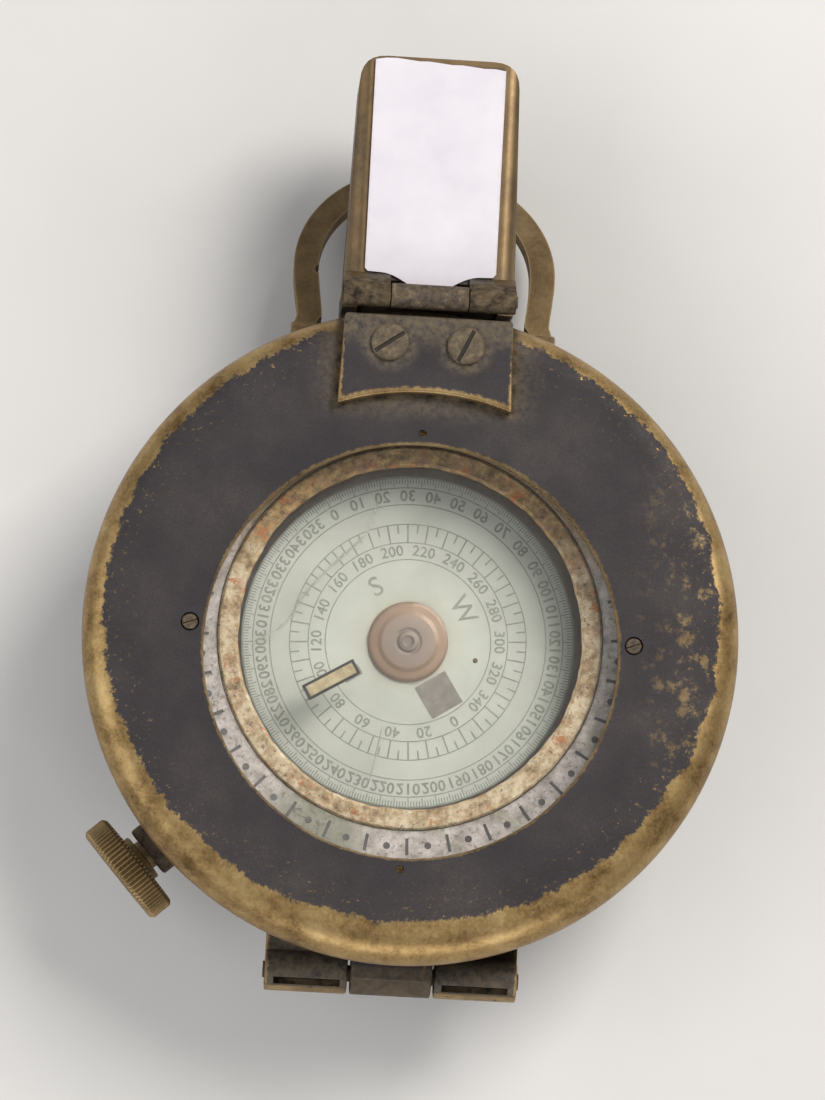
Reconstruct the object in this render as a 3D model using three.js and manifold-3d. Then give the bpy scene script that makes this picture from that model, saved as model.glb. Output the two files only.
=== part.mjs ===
// Prismatic marching compass with a glazed lid, a turning bezel and a fold-over prism.
// Millimetres, +Z up. The origin is the centre of the base face, +Y points to the prism,
// -Y to the lid hinge. At rest the lid is shut and the prism is turned outwards.

import * as THREE from 'three';
import { mergeVertices } from 'three/addons/utils/BufferGeometryUtils.js';
import Module from 'manifold-3d';

const wasm = await Module();
wasm.setup();

// ---- driving dimensions ----

const GAP = 0.3;
const ROUND = 64;
const INNER_ROUND = 40;
const SMALL_ROUND = 20;
const SCREW_ROUND = 12;

// case
const CASE_RADIUS = 29;
const CASE_TOP = 13.8;
const SHOULDER = 8;
const BOWL_RADIUS = 26.5;
const FOOT_RADIUS = 25.5;
const BOWL_BORE = 20;
const BOWL_FLOOR = 2;
const GROOVE_INNER = 21;
const GROOVE_OUTER = 24.9;
const GROOVE_FLOOR = 8.6;
const FOOT_GROOVE_INNER = 21.7;
const FOOT_GROOVE_OUTER = 24.3;
const FOOT_GROOVE_DEPTH = 1.5;
const RUBBER_INNER = 22;
const RUBBER_OUTER = 24;
const RUBBER_THICK = 1.2;

// lid
const LID_TOP = 23;
const LID_PLATE = 1;
const LID_FOOT = 14.5;
const RIM_RADIUS = 31.5;
const RIM_ROUND = 2.8;
const LID_FOOT_RADIUS = 30.4;
const LID_BORE = 29.3;
const WINDOW_RADIUS = 20.1;
const WINDOW_Y = -1.5;
const PINHOLE_RADIUS = 0.38;
const PINHOLE_CIRCLE = 20.85;
const LID_SCREW_X = 21.2;
const LID_SCREW_RADIUS = 0.75;
const LID_GLASS_RADIUS = 20.8;
const LID_GLASS_TOP = LID_TOP - 1.3;
const LID_GLASS_THICK = 0.8;
const CLIP_INNER = 20.3;
const CLIP_STEP = 21.1;
const CLIP_OUTER = 22.6;
const CLIP_FLOOR = LID_TOP - 2.5;
const CLIP_LEDGE = LID_TOP - 2.25;
const CLIP_TOP = LID_TOP - 1.2;

// lid hinge
const LID_HINGE_Y = -32.3;
const LID_HINGE_Z = 13.2;
const LID_KNUCKLE_RADIUS = 2;
const LID_KNUCKLE_END = 12.15;
const LID_KNUCKLE_MIDDLE = 3.9;
const LID_PIN_RADIUS = 0.8;

// tongue plate on the lid
const TONGUE_HALF = 8.4;
const TONGUE_END_Y = 30.4;
const TONGUE_ARC = 24.6;
const TONGUE_BOTTOM = LID_TOP + 0.15;
const TONGUE_TOP = TONGUE_BOTTOM + 1.2;
const TONGUE_SCREW_X = 3.65;
const TONGUE_SCREW_Y = 27.7;
const TONGUE_SCREW_RADIUS = 1.8;
const TONGUE_SHANK_RADIUS = 0.6;
const TONGUE_SHANK_HOLE = 0.95;

// bezel
const BEZEL_RADIUS = 28.8;
const BEZEL_BOTTOM = 14.2;
const BEZEL_TOP = 20.2;
const SCALE_OUTER = 23.2;
const SCALE_INNER = 18.6;
const SCALE_INNER_Z = 18.9;
const BEZEL_GLASS_RADIUS = 18.3;
const BEZEL_GLASS_BOTTOM = 17.2;
const BEZEL_GLASS_TOP = 18;
const GLASS_RING_BORE = 17.1;
const SPIGOT_RADIUS = 24.1;
const SPIGOT_BORE = 21.6;
const SPIGOT_FOOT = 9.2;
const LEDGE_BORE = 17.3;
const LEDGE_BOTTOM = 16.7;
const KEEPER_ANGLES = [0, 125, 290];
const KEEPER_RADIUS = 0.7;
const BAR_ANGLE = 211;
const BAR_PLACE = 8.6;
const BAR_LENGTH = 5.6;
const BAR_WIDTH = 1.6;

// card and liquid capsule
const CARD_RADIUS = 16.2;
const CARD_BOTTOM = 13;
const CARD_TOP = 13.3;
const CAP_RADIUS = 4.1;
const CAP_HEIGHT = 0.9;
const PIVOT_TOP = 13.6;
const MAGNET_X = 5;
const MAGNET_HALF = 7;
const CAPSULE_RADIUS = 19.7;
const CAPSULE_BORE = 18.4;
const CAPSULE_TOP = 14.2;
const CAPSULE_FLOOR = BOWL_FLOOR + 1.5;
const CAPSULE_GLASS_RADIUS = 19.1;
const LOCK_RING_OUTER = 20.6;
const NORTH_ANGLE = -57;

// clamp
const CLAMP_ANGLE = 222;
const CLAMP_Z = 11.3;
const CLAMP_HEAD_RADIUS = 5.3;
const CLAMP_HEAD_START = 33.5;
const CLAMP_HEAD_END = 36.1;
const CLAMP_STEM_RADIUS = 1.5;
const CLAMP_BOSS_RADIUS = 2.6;
const CLAMP_BOSS_END = 32.4;

// prism, its slide and its hinge
const PRISM_HINGE_Y = 32.4;
const PRISM_HINGE_Z = 23.3;
const PRISM_KNUCKLE_RADIUS = 1.45;
const PRISM_PIN_RADIUS = 0.6;
const PRISM_HALF_NEAR = 8.3;
const PRISM_HALF_FAR = 7.7;
const PRISM_START = 1.8;
const PRISM_END = 23.8;
const PRISM_FACE = -2.1;
const PRISM_BACK = -10.5;
const PRISM_WALL = 1.2;
const PRISM_EDGE = 1.6;
const LENS_Y = 17;
const LENS_RADIUS = 3.6;
const EYE_Z = -7;
const PRISM_GLASS_LEG = 5.8;
const PRISM_GLASS_HALF = 5;
const COVER_HOLE = 0.55;
const COVER_SCREWS = [[-7.3, 4.2], [7.3, 4.2], [-6.9, 20.6], [6.9, 20.6]];
const SLIDE_HALF = 6.4;
const SLIDE_NECK_HALF = 3.5;
const SLIDE_BOTTOM = 8.9;
const SLIDE_TOP = 21.3;
const SLIDE_BACK = 32;
const SLIDE_FRONT = 33;
const GUIDE_BOTTOM = 8.6;
const GUIDE_TOP = 19.4;
const GUIDE_FRONT = 33.85;
const GUIDE_PLAY = 0.4;
const GUIDE_CHEEK = 1.5;

// thumb ring
const THUMB_HINGE_Y = 29.7;
const THUMB_HINGE_Z = 11.3;
const THUMB_DROOP = 28;
const THUMB_RADIUS = 13;
const THUMB_BAND = 2.5;
const THUMB_THICK = 1.4;
const THUMB_CENTRE = 8.7;
const THUMB_EYE_RADIUS = 1.5;
const THUMB_PIN_RADIUS = 0.6;

// ---- solids ----

function toSolid(geometry) {
  let bare = geometry.clone();
  bare.deleteAttribute('normal');
  bare.deleteAttribute('uv');
  bare = mergeVertices(bare, 1e-5);
  const points = new Float32Array(bare.attributes.position.array);
  const corners = new Uint32Array(bare.index.array);
  if (signedVolume(points, corners) < 0) {
    flip(corners);
  }
  return new wasm.Manifold(new wasm.Mesh({ numProp: 3, vertProperties: points, triVerts: corners }));
}

function signedVolume(points, corners) {
  const a = new THREE.Vector3();
  const b = new THREE.Vector3();
  const c = new THREE.Vector3();
  let six = 0;
  for (let i = 0; i < corners.length; i += 3) {
    a.fromArray(points, corners[i] * 3);
    b.fromArray(points, corners[i + 1] * 3);
    c.fromArray(points, corners[i + 2] * 3);
    six += a.dot(b.cross(c));
  }
  return six;
}

function flip(corners) {
  for (let i = 0; i < corners.length; i += 3) {
    const kept = corners[i + 1];
    corners[i + 1] = corners[i + 2];
    corners[i + 2] = kept;
  }
}

function addMesh(group, name, solid, material) {
  const result = solid.getMesh();
  const geometry = new THREE.BufferGeometry();
  geometry.setAttribute('position', new THREE.BufferAttribute(new Float32Array(result.vertProperties), 3));
  geometry.setIndex(new THREE.BufferAttribute(new Uint32Array(result.triVerts), 1));
  geometry.computeVertexNormals();
  const mesh = new THREE.Mesh(geometry, material);
  mesh.name = name;
  group.add(mesh);
  return mesh;
}

function revolve(outline, segments = ROUND) {
  const points = outline.map(([radius, height]) => new THREE.Vector2(radius, height));
  const onAxis = outline[0][0] === 0 && outline[outline.length - 1][0] === 0;
  if (!onAxis) {
    points.push(points[0].clone());
  }
  return toSolid(new THREE.LatheGeometry(points, segments).rotateX(Math.PI / 2));
}

function ringSolid(inner, outer, bottom, top, segments = ROUND) {
  return revolve([[inner, bottom], [outer, bottom], [outer, top], [inner, top]], segments);
}

function discSolid(radius, bottom, top, segments = SMALL_ROUND) {
  const geometry = new THREE.CylinderGeometry(radius, radius, top - bottom, segments);
  return toSolid(geometry.rotateX(Math.PI / 2).translate(0, 0, (bottom + top) / 2));
}

// a rod along X between two x values, its centre line at (y, z)
function rodX(radius, start, end, y, z, segments = SMALL_ROUND) {
  const geometry = new THREE.CylinderGeometry(radius, radius, end - start, segments);
  return toSolid(geometry.rotateZ(Math.PI / 2).translate((start + end) / 2, y, z));
}

function block(x0, x1, y0, y1, z0, z1) {
  const geometry = new THREE.BoxGeometry(x1 - x0, y1 - y0, z1 - z0);
  return toSolid(geometry.translate((x0 + x1) / 2, (y0 + y1) / 2, (z0 + z1) / 2));
}

// a block whose two x values may come in either order
function blockBetween(xa, xb, y0, y1, z0, z1) {
  return block(Math.min(xa, xb), Math.max(xa, xb), y0, y1, z0, z1);
}

function rodBetween(radius, xa, xb, y, z, segments = SMALL_ROUND) {
  return rodX(radius, Math.min(xa, xb), Math.max(xa, xb), y, z, segments);
}

// an outline in the XY plane, raised from bottom to top
function raised(shape, bottom, top, curveSegments = 12) {
  const settings = { depth: top - bottom, bevelEnabled: false, curveSegments };
  const geometry = new THREE.ExtrudeGeometry(shape, settings);
  return toSolid(geometry.translate(0, 0, bottom));
}

// an outline in the YZ plane, swept along X
function sweptX(outline, start, end) {
  const shape = new THREE.Shape(outline.map(([y, z]) => new THREE.Vector2(y, z)));
  const geometry = new THREE.ExtrudeGeometry(shape, { depth: end - start, bevelEnabled: false });
  const toYz = new THREE.Matrix4().makeBasis(
    new THREE.Vector3(0, 1, 0), new THREE.Vector3(0, 0, 1), new THREE.Vector3(1, 0, 0));
  return toSolid(geometry.applyMatrix4(toYz).translate(start, 0, 0));
}

// a slotted screw head at the origin, its top at z = 0
function slottedHead(radius, height, slotAngle) {
  const slot = new THREE.BoxGeometry(radius * 2.4, radius * 0.28, height * 0.9);
  slot.rotateZ(THREE.MathUtils.degToRad(slotAngle));
  const edge = radius * 0.12;
  const outline = [[0, -height], [radius, -height], [radius, -edge], [radius - edge, 0], [0, 0]];
  return revolve(outline, SCREW_ROUND).subtract(toSolid(slot));
}

function turnedAboutZ(solid, degrees) {
  return solid.rotate([0, 0, degrees]);
}

// ---- materials ----

function finish(color, roughness, metalness) {
  return new THREE.MeshStandardMaterial({ color, roughness, metalness });
}

const darkPaint = () => finish(0x3d3a3f, 0.5, 0.1);
const wornBrass = () => finish(0x8c6d40, 0.45, 0.9);
const brightBrass = () => finish(0xa88850, 0.35, 0.9);
const plating = () => finish(0xb4aa9e, 0.4, 0.8);
const glass = () => finish(0xd8e2dc, 0.08, 0);
const steel = () => finish(0x8a8a88, 0.35, 1);
const rubber = () => finish(0x222222, 0.8, 0);
const cardFace = () => finish(0xc9d0bd, 0.5, 0);
const paper = () => finish(0xe8e4ea, 0.8, 0);

const compass = new THREE.Group();

// ---- case ----

function caseSolid() {
  const shell = revolve([
    [0, 0], [FOOT_RADIUS, 0], [BOWL_RADIUS, 1], [BOWL_RADIUS, SHOULDER - 1.2],
    [CASE_RADIUS - 0.8, SHOULDER], [CASE_RADIUS, SHOULDER + 0.8],
    [CASE_RADIUS, CASE_TOP - 0.5], [CASE_RADIUS - 0.5, CASE_TOP],
    [GROOVE_OUTER, CASE_TOP], [GROOVE_OUTER, GROOVE_FLOOR],
    [GROOVE_INNER, GROOVE_FLOOR], [GROOVE_INNER, CASE_TOP],
    [BOWL_BORE, CASE_TOP], [BOWL_BORE, BOWL_FLOOR], [0, BOWL_FLOOR],
  ]);
  const footGroove = ringSolid(FOOT_GROOVE_INNER, FOOT_GROOVE_OUTER, -1, FOOT_GROOVE_DEPTH);
  let solid = shell.subtract(footGroove);
  for (const side of [-1, 1]) {
    solid = solid.add(hingeKnuckle(side));
    solid = solid.add(thumbLug(side));
  }
  const clearMiddle = LID_KNUCKLE_MIDDLE + GAP;
  const middleCut = rodX(
    LID_KNUCKLE_RADIUS + 0.5, -clearMiddle, clearMiddle, LID_HINGE_Y, LID_HINGE_Z);
  const pinHole = rodX(LID_PIN_RADIUS + GAP, -20, 20, LID_HINGE_Y, LID_HINGE_Z, SCREW_ROUND);
  const stemHole = turnedAboutZ(
    rodX(CLAMP_STEM_RADIUS + GAP, GROOVE_OUTER - 1, CASE_RADIUS + 6, 0, CLAMP_Z, SCREW_ROUND), CLAMP_ANGLE);
  const boss = turnedAboutZ(
    rodX(CLAMP_BOSS_RADIUS, GROOVE_OUTER + 1, CLAMP_BOSS_END, 0, CLAMP_Z), CLAMP_ANGLE);
  solid = solid.add(boss).subtract(stemHole).subtract(middleCut).subtract(pinHole);
  for (const angle of KEEPER_ANGLES) {
    const hole = rodX(KEEPER_RADIUS + 0.15, GROOVE_OUTER - 1, CASE_RADIUS + 1, 0, CLAMP_Z, SCREW_ROUND);
    solid = solid.subtract(turnedAboutZ(hole, angle));
  }
  return solid;
}

function hingeKnuckle(side) {
  const near = side * (LID_KNUCKLE_MIDDLE + GAP);
  const far = side * LID_KNUCKLE_END;
  const barrel = rodBetween(LID_KNUCKLE_RADIUS, near, far, LID_HINGE_Y, LID_HINGE_Z);
  const arm = blockBetween(
    near, far, LID_HINGE_Y, -26, LID_HINGE_Z - LID_KNUCKLE_RADIUS, CASE_TOP - 0.1);
  return barrel.add(arm);
}

// the small ear on the case that carries one end of the thumb ring
function thumbLug(side) {
  const far = side * (THUMB_RADIUS - THUMB_BAND - GAP);
  const near = far - side * 1.3;
  const eye = rodBetween(THUMB_EYE_RADIUS, near, far, THUMB_HINGE_Y, THUMB_HINGE_Z);
  const root = blockBetween(
    near, far, 26, THUMB_HINGE_Y, THUMB_HINGE_Z - THUMB_EYE_RADIUS, THUMB_HINGE_Z + THUMB_EYE_RADIUS);
  const hole = rodBetween(
    THUMB_PIN_RADIUS + 0.2, near - side, far + side, THUMB_HINGE_Y, THUMB_HINGE_Z, SCREW_ROUND);
  return eye.add(root).subtract(hole);
}

function buildCase() {
  addMesh(compass, 'case_bowl', caseSolid(), darkPaint());
  addMesh(compass, 'base_rubber_ring', ringSolid(RUBBER_INNER, RUBBER_OUTER, 0, RUBBER_THICK), rubber());
  const cup = revolve([
    [0, BOWL_FLOOR + GAP], [CAPSULE_RADIUS, BOWL_FLOOR + GAP], [CAPSULE_RADIUS, CAPSULE_TOP],
    [CAPSULE_BORE, CAPSULE_TOP], [CAPSULE_BORE, CAPSULE_FLOOR], [0, CAPSULE_FLOOR],
  ]);
  addMesh(compass, 'capsule_cup', cup, plating());
  addMesh(compass, 'capsule_gasket', ringSolid(17.7, 19.3, CAPSULE_TOP + 0.1, CAPSULE_TOP + 0.5), rubber());
  addMesh(compass, 'capsule_glass', discSolid(
    CAPSULE_GLASS_RADIUS, CAPSULE_TOP + 0.6, CAPSULE_TOP + 1.6, ROUND), glass());
  const lockRing = ringSolid(18.2, LOCK_RING_OUTER, CAPSULE_TOP + 1.7, CAPSULE_TOP + 2.1);
  const lockSkirt = ringSolid(19.3, LOCK_RING_OUTER, CAPSULE_TOP + 0.2, CAPSULE_TOP + 1.9);
  addMesh(compass, 'capsule_lock_ring', lockRing.add(lockSkirt), brightBrass());
  const post = revolve([
    [0, BOWL_FLOOR + 1.8], [3, BOWL_FLOOR + 1.8], [3, BOWL_FLOOR + 2.8], [1.2, BOWL_FLOOR + 4],
    [1, 11], [0, 11],
  ], SMALL_ROUND);
  addMesh(compass, 'pivot_post', post, brightBrass());
  const needle = revolve(
    [[0, 11.1], [0.5, 11.1], [0.5, 12.6], [0.1, PIVOT_TOP], [0, PIVOT_TOP]], SCREW_ROUND);
  addMesh(compass, 'pivot_needle', needle, steel());
  const lidPin = rodX(
    LID_PIN_RADIUS, -LID_KNUCKLE_END - 0.2, LID_KNUCKLE_END + 0.2, LID_HINGE_Y, LID_HINGE_Z, SCREW_ROUND);
  addMesh(compass, 'lid_hinge_pin', lidPin, wornBrass());
  KEEPER_ANGLES.forEach((angle, index) => {
    const stem = rodX(KEEPER_RADIUS, SPIGOT_RADIUS - 0.5, CASE_RADIUS - 0.2, 0, CLAMP_Z, SCREW_ROUND);
    const slot = block(CASE_RADIUS - 0.6, CASE_RADIUS, -1, 1, CLAMP_Z - 0.15, CLAMP_Z + 0.15);
    const screw = turnedAboutZ(stem.subtract(slot), angle);
    addMesh(compass, `bezel_keeper_screw_${index + 1}`, screw, wornBrass());
  });
}

// ---- slide guide and thumb ring pins ----

function buildGuide() {
  const halfWidth = SLIDE_HALF + GUIDE_PLAY + GUIDE_CHEEK;
  const wall = discSolid(CASE_RADIUS + GAP, 0, LID_TOP, ROUND);
  const back = block(-halfWidth, halfWidth, 27, 31.75, GUIDE_BOTTOM, CASE_TOP + 0.3).subtract(wall);
  let guide = back;
  for (const side of [-1, 1]) {
    const outer = side * halfWidth;
    guide = guide.add(blockBetween(
      side * (SLIDE_HALF + GUIDE_PLAY), outer, 31.7, GUIDE_FRONT, GUIDE_BOTTOM, GUIDE_TOP));
    guide = guide.add(blockBetween(
      side * (SLIDE_HALF - 1), outer, SLIDE_FRONT + 0.25, GUIDE_FRONT, GUIDE_BOTTOM, GUIDE_TOP));
  }
  addMesh(compass, 'prism_slide_guide', guide, darkPaint());
}

function buildThumbPins() {
  for (const [label, side] of [['left', -1], ['right', 1]]) {
    const near = side * (THUMB_RADIUS - THUMB_BAND - GAP - 1.5);
    const far = side * (THUMB_RADIUS - 0.05);
    const pin = rodBetween(THUMB_PIN_RADIUS, near, far, THUMB_HINGE_Y, THUMB_HINGE_Z, SCREW_ROUND);
    addMesh(compass, `thumb_ring_pin_${label}`, pin, wornBrass());
  }
}

// ---- lid ----

function lidSolid() {
  const outline = [
    [0, LID_TOP - LID_PLATE], [LID_BORE - 0.7, LID_TOP - LID_PLATE], [LID_BORE, LID_TOP - LID_PLATE - 0.7],
    [LID_BORE, LID_FOOT], [LID_FOOT_RADIUS, LID_FOOT], [RIM_RADIUS - 0.3, LID_FOOT + 2.7],
  ];
  const steps = 5;
  for (let i = 0; i <= steps; i += 1) {
    const turn = (i / steps) * Math.PI / 2;
    const centre = RIM_RADIUS - RIM_ROUND;
    outline.push([centre + RIM_ROUND * Math.cos(turn), LID_TOP - RIM_ROUND + RIM_ROUND * Math.sin(turn)]);
  }
  outline.push([0, LID_TOP]);
  let solid = revolve(outline);
  const through = discSolid(WINDOW_RADIUS, LID_TOP - 3, LID_TOP + 1, ROUND);
  solid = solid.subtract(through.translate([0, WINDOW_Y, 0]));
  for (const side of [-1, 1]) {
    const pinhole = discSolid(PINHOLE_RADIUS, LID_TOP - 3, LID_TOP + 1, SCREW_ROUND);
    solid = solid.subtract(pinhole.translate([0, WINDOW_Y + side * PINHOLE_CIRCLE, 0]));
    const headHole = discSolid(LID_SCREW_RADIUS + 0.15, LID_TOP - 0.5, LID_TOP + 1, SCREW_ROUND);
    solid = solid.subtract(headHole.translate([side * LID_SCREW_X, 0, 0]));
    const shankHole = discSolid(TONGUE_SHANK_HOLE, LID_TOP - 3, LID_TOP + 1, SCREW_ROUND);
    solid = solid.subtract(shankHole.translate([side * TONGUE_SCREW_X, TONGUE_SCREW_Y, 0]));
  }
  const clearEnd = LID_KNUCKLE_END + 0.3;
  solid = solid.subtract(rodX(LID_KNUCKLE_RADIUS + 0.4, -clearEnd, clearEnd, LID_HINGE_Y, LID_HINGE_Z));
  const knuckle = rodX(
    LID_KNUCKLE_RADIUS, -LID_KNUCKLE_MIDDLE, LID_KNUCKLE_MIDDLE, LID_HINGE_Y, LID_HINGE_Z);
  const web = block(
    -LID_KNUCKLE_MIDDLE, LID_KNUCKLE_MIDDLE, LID_HINGE_Y - 0.6, -LID_BORE, CASE_TOP + 0.4, LID_FOOT + 2);
  const pinHole = rodX(LID_PIN_RADIUS + GAP, -20, 20, LID_HINGE_Y, LID_HINGE_Z, SCREW_ROUND);
  return solid.add(knuckle).add(web).subtract(pinHole);
}

// the raised plate under the folded prism: straight sides and an arc that follows the window
function tongueSolid() {
  const shape = new THREE.Shape();
  const cornerDrop = Math.sqrt(TONGUE_ARC ** 2 - TONGUE_HALF ** 2);
  const halfAngle = Math.asin(TONGUE_HALF / TONGUE_ARC);
  shape.moveTo(-TONGUE_HALF, TONGUE_END_Y);
  shape.lineTo(-TONGUE_HALF, WINDOW_Y + cornerDrop);
  shape.absarc(0, WINDOW_Y, TONGUE_ARC, Math.PI / 2 + halfAngle, Math.PI / 2 - halfAngle, true);
  shape.lineTo(TONGUE_HALF, TONGUE_END_Y);
  shape.closePath();
  let solid = raised(shape, TONGUE_BOTTOM, TONGUE_TOP);
  for (const side of [-1, 1]) {
    const hole = discSolid(TONGUE_SHANK_HOLE, TONGUE_BOTTOM - 1, TONGUE_TOP + 1, SCREW_ROUND);
    solid = solid.subtract(hole.translate([side * TONGUE_SCREW_X, TONGUE_SCREW_Y, 0]));
  }
  return solid;
}

function buildLid() {
  addMesh(compass, 'lid_shell', lidSolid(), darkPaint());
  const lidGlass = discSolid(
    LID_GLASS_RADIUS, LID_GLASS_TOP - LID_GLASS_THICK, LID_GLASS_TOP, INNER_ROUND);
  addMesh(compass, 'lid_glass', lidGlass.translate([0, WINDOW_Y, 0]), glass());
  const clip = revolve([
    [CLIP_INNER, CLIP_FLOOR], [CLIP_OUTER, CLIP_FLOOR], [CLIP_OUTER, CLIP_TOP],
    [CLIP_STEP, CLIP_TOP], [CLIP_STEP, CLIP_LEDGE], [CLIP_INNER, CLIP_LEDGE],
  ], INNER_ROUND);
  addMesh(compass, 'lid_glass_ring', clip.translate([0, WINDOW_Y, 0]), wornBrass());
  addMesh(compass, 'tongue_plate', tongueSolid(), wornBrass());
  const slots = { left: 35, right: 65 };
  for (const [label, side] of [['left', -1], ['right', 1]]) {
    const shank = discSolid(TONGUE_SHANK_RADIUS, -3.2, -0.3, SCREW_ROUND);
    const screw = slottedHead(TONGUE_SCREW_RADIUS, 0.5, slots[label]).add(shank);
    const mesh = addMesh(compass, `tongue_screw_${label}`, screw, brightBrass());
    mesh.position.set(side * TONGUE_SCREW_X, TONGUE_SCREW_Y, TONGUE_TOP + 0.55);
  }
  for (const [label, side] of [['west', -1], ['east', 1]]) {
    const mesh = addMesh(compass, `lid_screw_${label}`, slottedHead(LID_SCREW_RADIUS, 0.4, 20), wornBrass());
    mesh.position.set(side * LID_SCREW_X, 0, LID_TOP - 0.05);
  }
}

// ---- bezel ----

function buildBezel() {
  const ring = revolve([
    [LEDGE_BORE, LEDGE_BOTTOM], [SPIGOT_BORE, LEDGE_BOTTOM], [SPIGOT_BORE, SPIGOT_FOOT],
    [SPIGOT_RADIUS, SPIGOT_FOOT], [SPIGOT_RADIUS, CLAMP_Z - 0.9], [SPIGOT_RADIUS - 0.8, CLAMP_Z - 0.9],
    [SPIGOT_RADIUS - 0.8, CLAMP_Z + 0.9], [SPIGOT_RADIUS, CLAMP_Z + 0.9], [SPIGOT_RADIUS, BEZEL_BOTTOM],
    [BEZEL_RADIUS, BEZEL_BOTTOM], [BEZEL_RADIUS, BEZEL_TOP - 0.6], [BEZEL_RADIUS - 0.6, BEZEL_TOP],
    [SCALE_OUTER, BEZEL_TOP], [SCALE_INNER, SCALE_INNER_Z], [SCALE_INNER, BEZEL_GLASS_BOTTOM - 0.1],
    [LEDGE_BORE, BEZEL_GLASS_BOTTOM - 0.1],
  ]);
  addMesh(compass, 'bezel_ring', ring, plating());
  const bezelGlass = discSolid(BEZEL_GLASS_RADIUS, BEZEL_GLASS_BOTTOM, BEZEL_GLASS_TOP, INNER_ROUND);
  addMesh(compass, 'bezel_glass', bezelGlass, glass());
  const glassRing = ringSolid(
    GLASS_RING_BORE, BEZEL_GLASS_RADIUS, BEZEL_GLASS_TOP + 0.1, BEZEL_GLASS_TOP + 0.7, INNER_ROUND);
  addMesh(compass, 'bezel_glass_ring', glassRing, wornBrass());
  const bar = block(
    BAR_PLACE - BAR_LENGTH / 2, BAR_PLACE + BAR_LENGTH / 2, -BAR_WIDTH / 2, BAR_WIDTH / 2,
    BEZEL_GLASS_TOP + 0.1, BEZEL_GLASS_TOP + 0.35);
  addMesh(compass, 'luminous_bar', turnedAboutZ(bar, BAR_ANGLE), paper());
}

// ---- card ----

function buildCard() {
  addMesh(compass, 'card_disc', ringSolid(0.8, CARD_RADIUS, CARD_BOTTOM, CARD_TOP, INNER_ROUND), cardFace());
  const bottom = CARD_TOP + 0.05;
  const cap = revolve([
    [0, bottom + 0.55], [0.7, bottom], [CAP_RADIUS, bottom], [CAP_RADIUS, bottom + 0.3],
    [CAP_RADIUS * 0.8, bottom + 0.5], [CAP_RADIUS * 0.45, bottom + 0.6], [1, bottom + CAP_HEIGHT],
    [0, bottom + CAP_HEIGHT],
  ], SMALL_ROUND);
  addMesh(compass, 'card_jewel_cap', cap, brightBrass());
  for (const [label, side] of [['left', -1], ['right', 1]]) {
    const magnet = block(
      -MAGNET_HALF, MAGNET_HALF, side * MAGNET_X - 1, side * MAGNET_X + 1, CARD_BOTTOM - 1.4,
      CARD_BOTTOM - 0.1);
    addMesh(compass, `card_magnet_${label}`, turnedAboutZ(magnet, NORTH_ANGLE), steel());
  }
}

// ---- prism slide ----

function buildSlide() {
  const plate = block(-SLIDE_HALF, SLIDE_HALF, SLIDE_BACK, SLIDE_FRONT, SLIDE_BOTTOM, SLIDE_TOP);
  const neck = block(
    -SLIDE_NECK_HALF, SLIDE_NECK_HALF, SLIDE_BACK, SLIDE_FRONT, SLIDE_TOP - 0.5, PRISM_HINGE_Z);
  const barrel = rodX(
    PRISM_KNUCKLE_RADIUS, -SLIDE_NECK_HALF, SLIDE_NECK_HALF, PRISM_HINGE_Y, PRISM_HINGE_Z);
  const hole = rodX(PRISM_PIN_RADIUS + GAP, -10, 10, PRISM_HINGE_Y, PRISM_HINGE_Z, SCREW_ROUND);
  addMesh(compass, 'prism_slider', plate.add(neck).add(barrel).subtract(hole), wornBrass());
  const end = PRISM_HALF_NEAR + 0.15;
  addMesh(
    compass, 'prism_hinge_pin', rodX(PRISM_PIN_RADIUS, -end, end, PRISM_HINGE_Y, PRISM_HINGE_Z, SCREW_ROUND),
    wornBrass());
}

// ---- prism: everything here is drawn about the prism hinge, turned outwards along +Y ----

// the plan outline of the housing, a little narrower at its free end, which has round corners
function prismPlan(inset) {
  const near = PRISM_HALF_NEAR - inset;
  const far = PRISM_HALF_FAR - inset;
  const start = PRISM_START + inset;
  const end = PRISM_END - inset;
  const corner = 1.8;
  const shape = new THREE.Shape();
  shape.moveTo(-near, start);
  shape.lineTo(near, start);
  shape.lineTo(far, end - corner);
  shape.quadraticCurveTo(far, end, far - corner, end);
  shape.lineTo(corner - far, end);
  shape.quadraticCurveTo(-far, end, -far, end - corner);
  shape.closePath();
  return shape;
}

// the cross section of the housing, with its two face edges rounded
function prismSection() {
  const half = PRISM_HALF_NEAR;
  const shape = new THREE.Shape();
  shape.moveTo(-half, PRISM_BACK + 0.9);
  shape.lineTo(half, PRISM_BACK + 0.9);
  shape.lineTo(half, PRISM_FACE - PRISM_EDGE);
  shape.quadraticCurveTo(half, PRISM_FACE, half - PRISM_EDGE, PRISM_FACE);
  shape.lineTo(PRISM_EDGE - half, PRISM_FACE);
  shape.quadraticCurveTo(-half, PRISM_FACE, -half, PRISM_FACE - PRISM_EDGE);
  shape.closePath();
  return shape;
}

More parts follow.
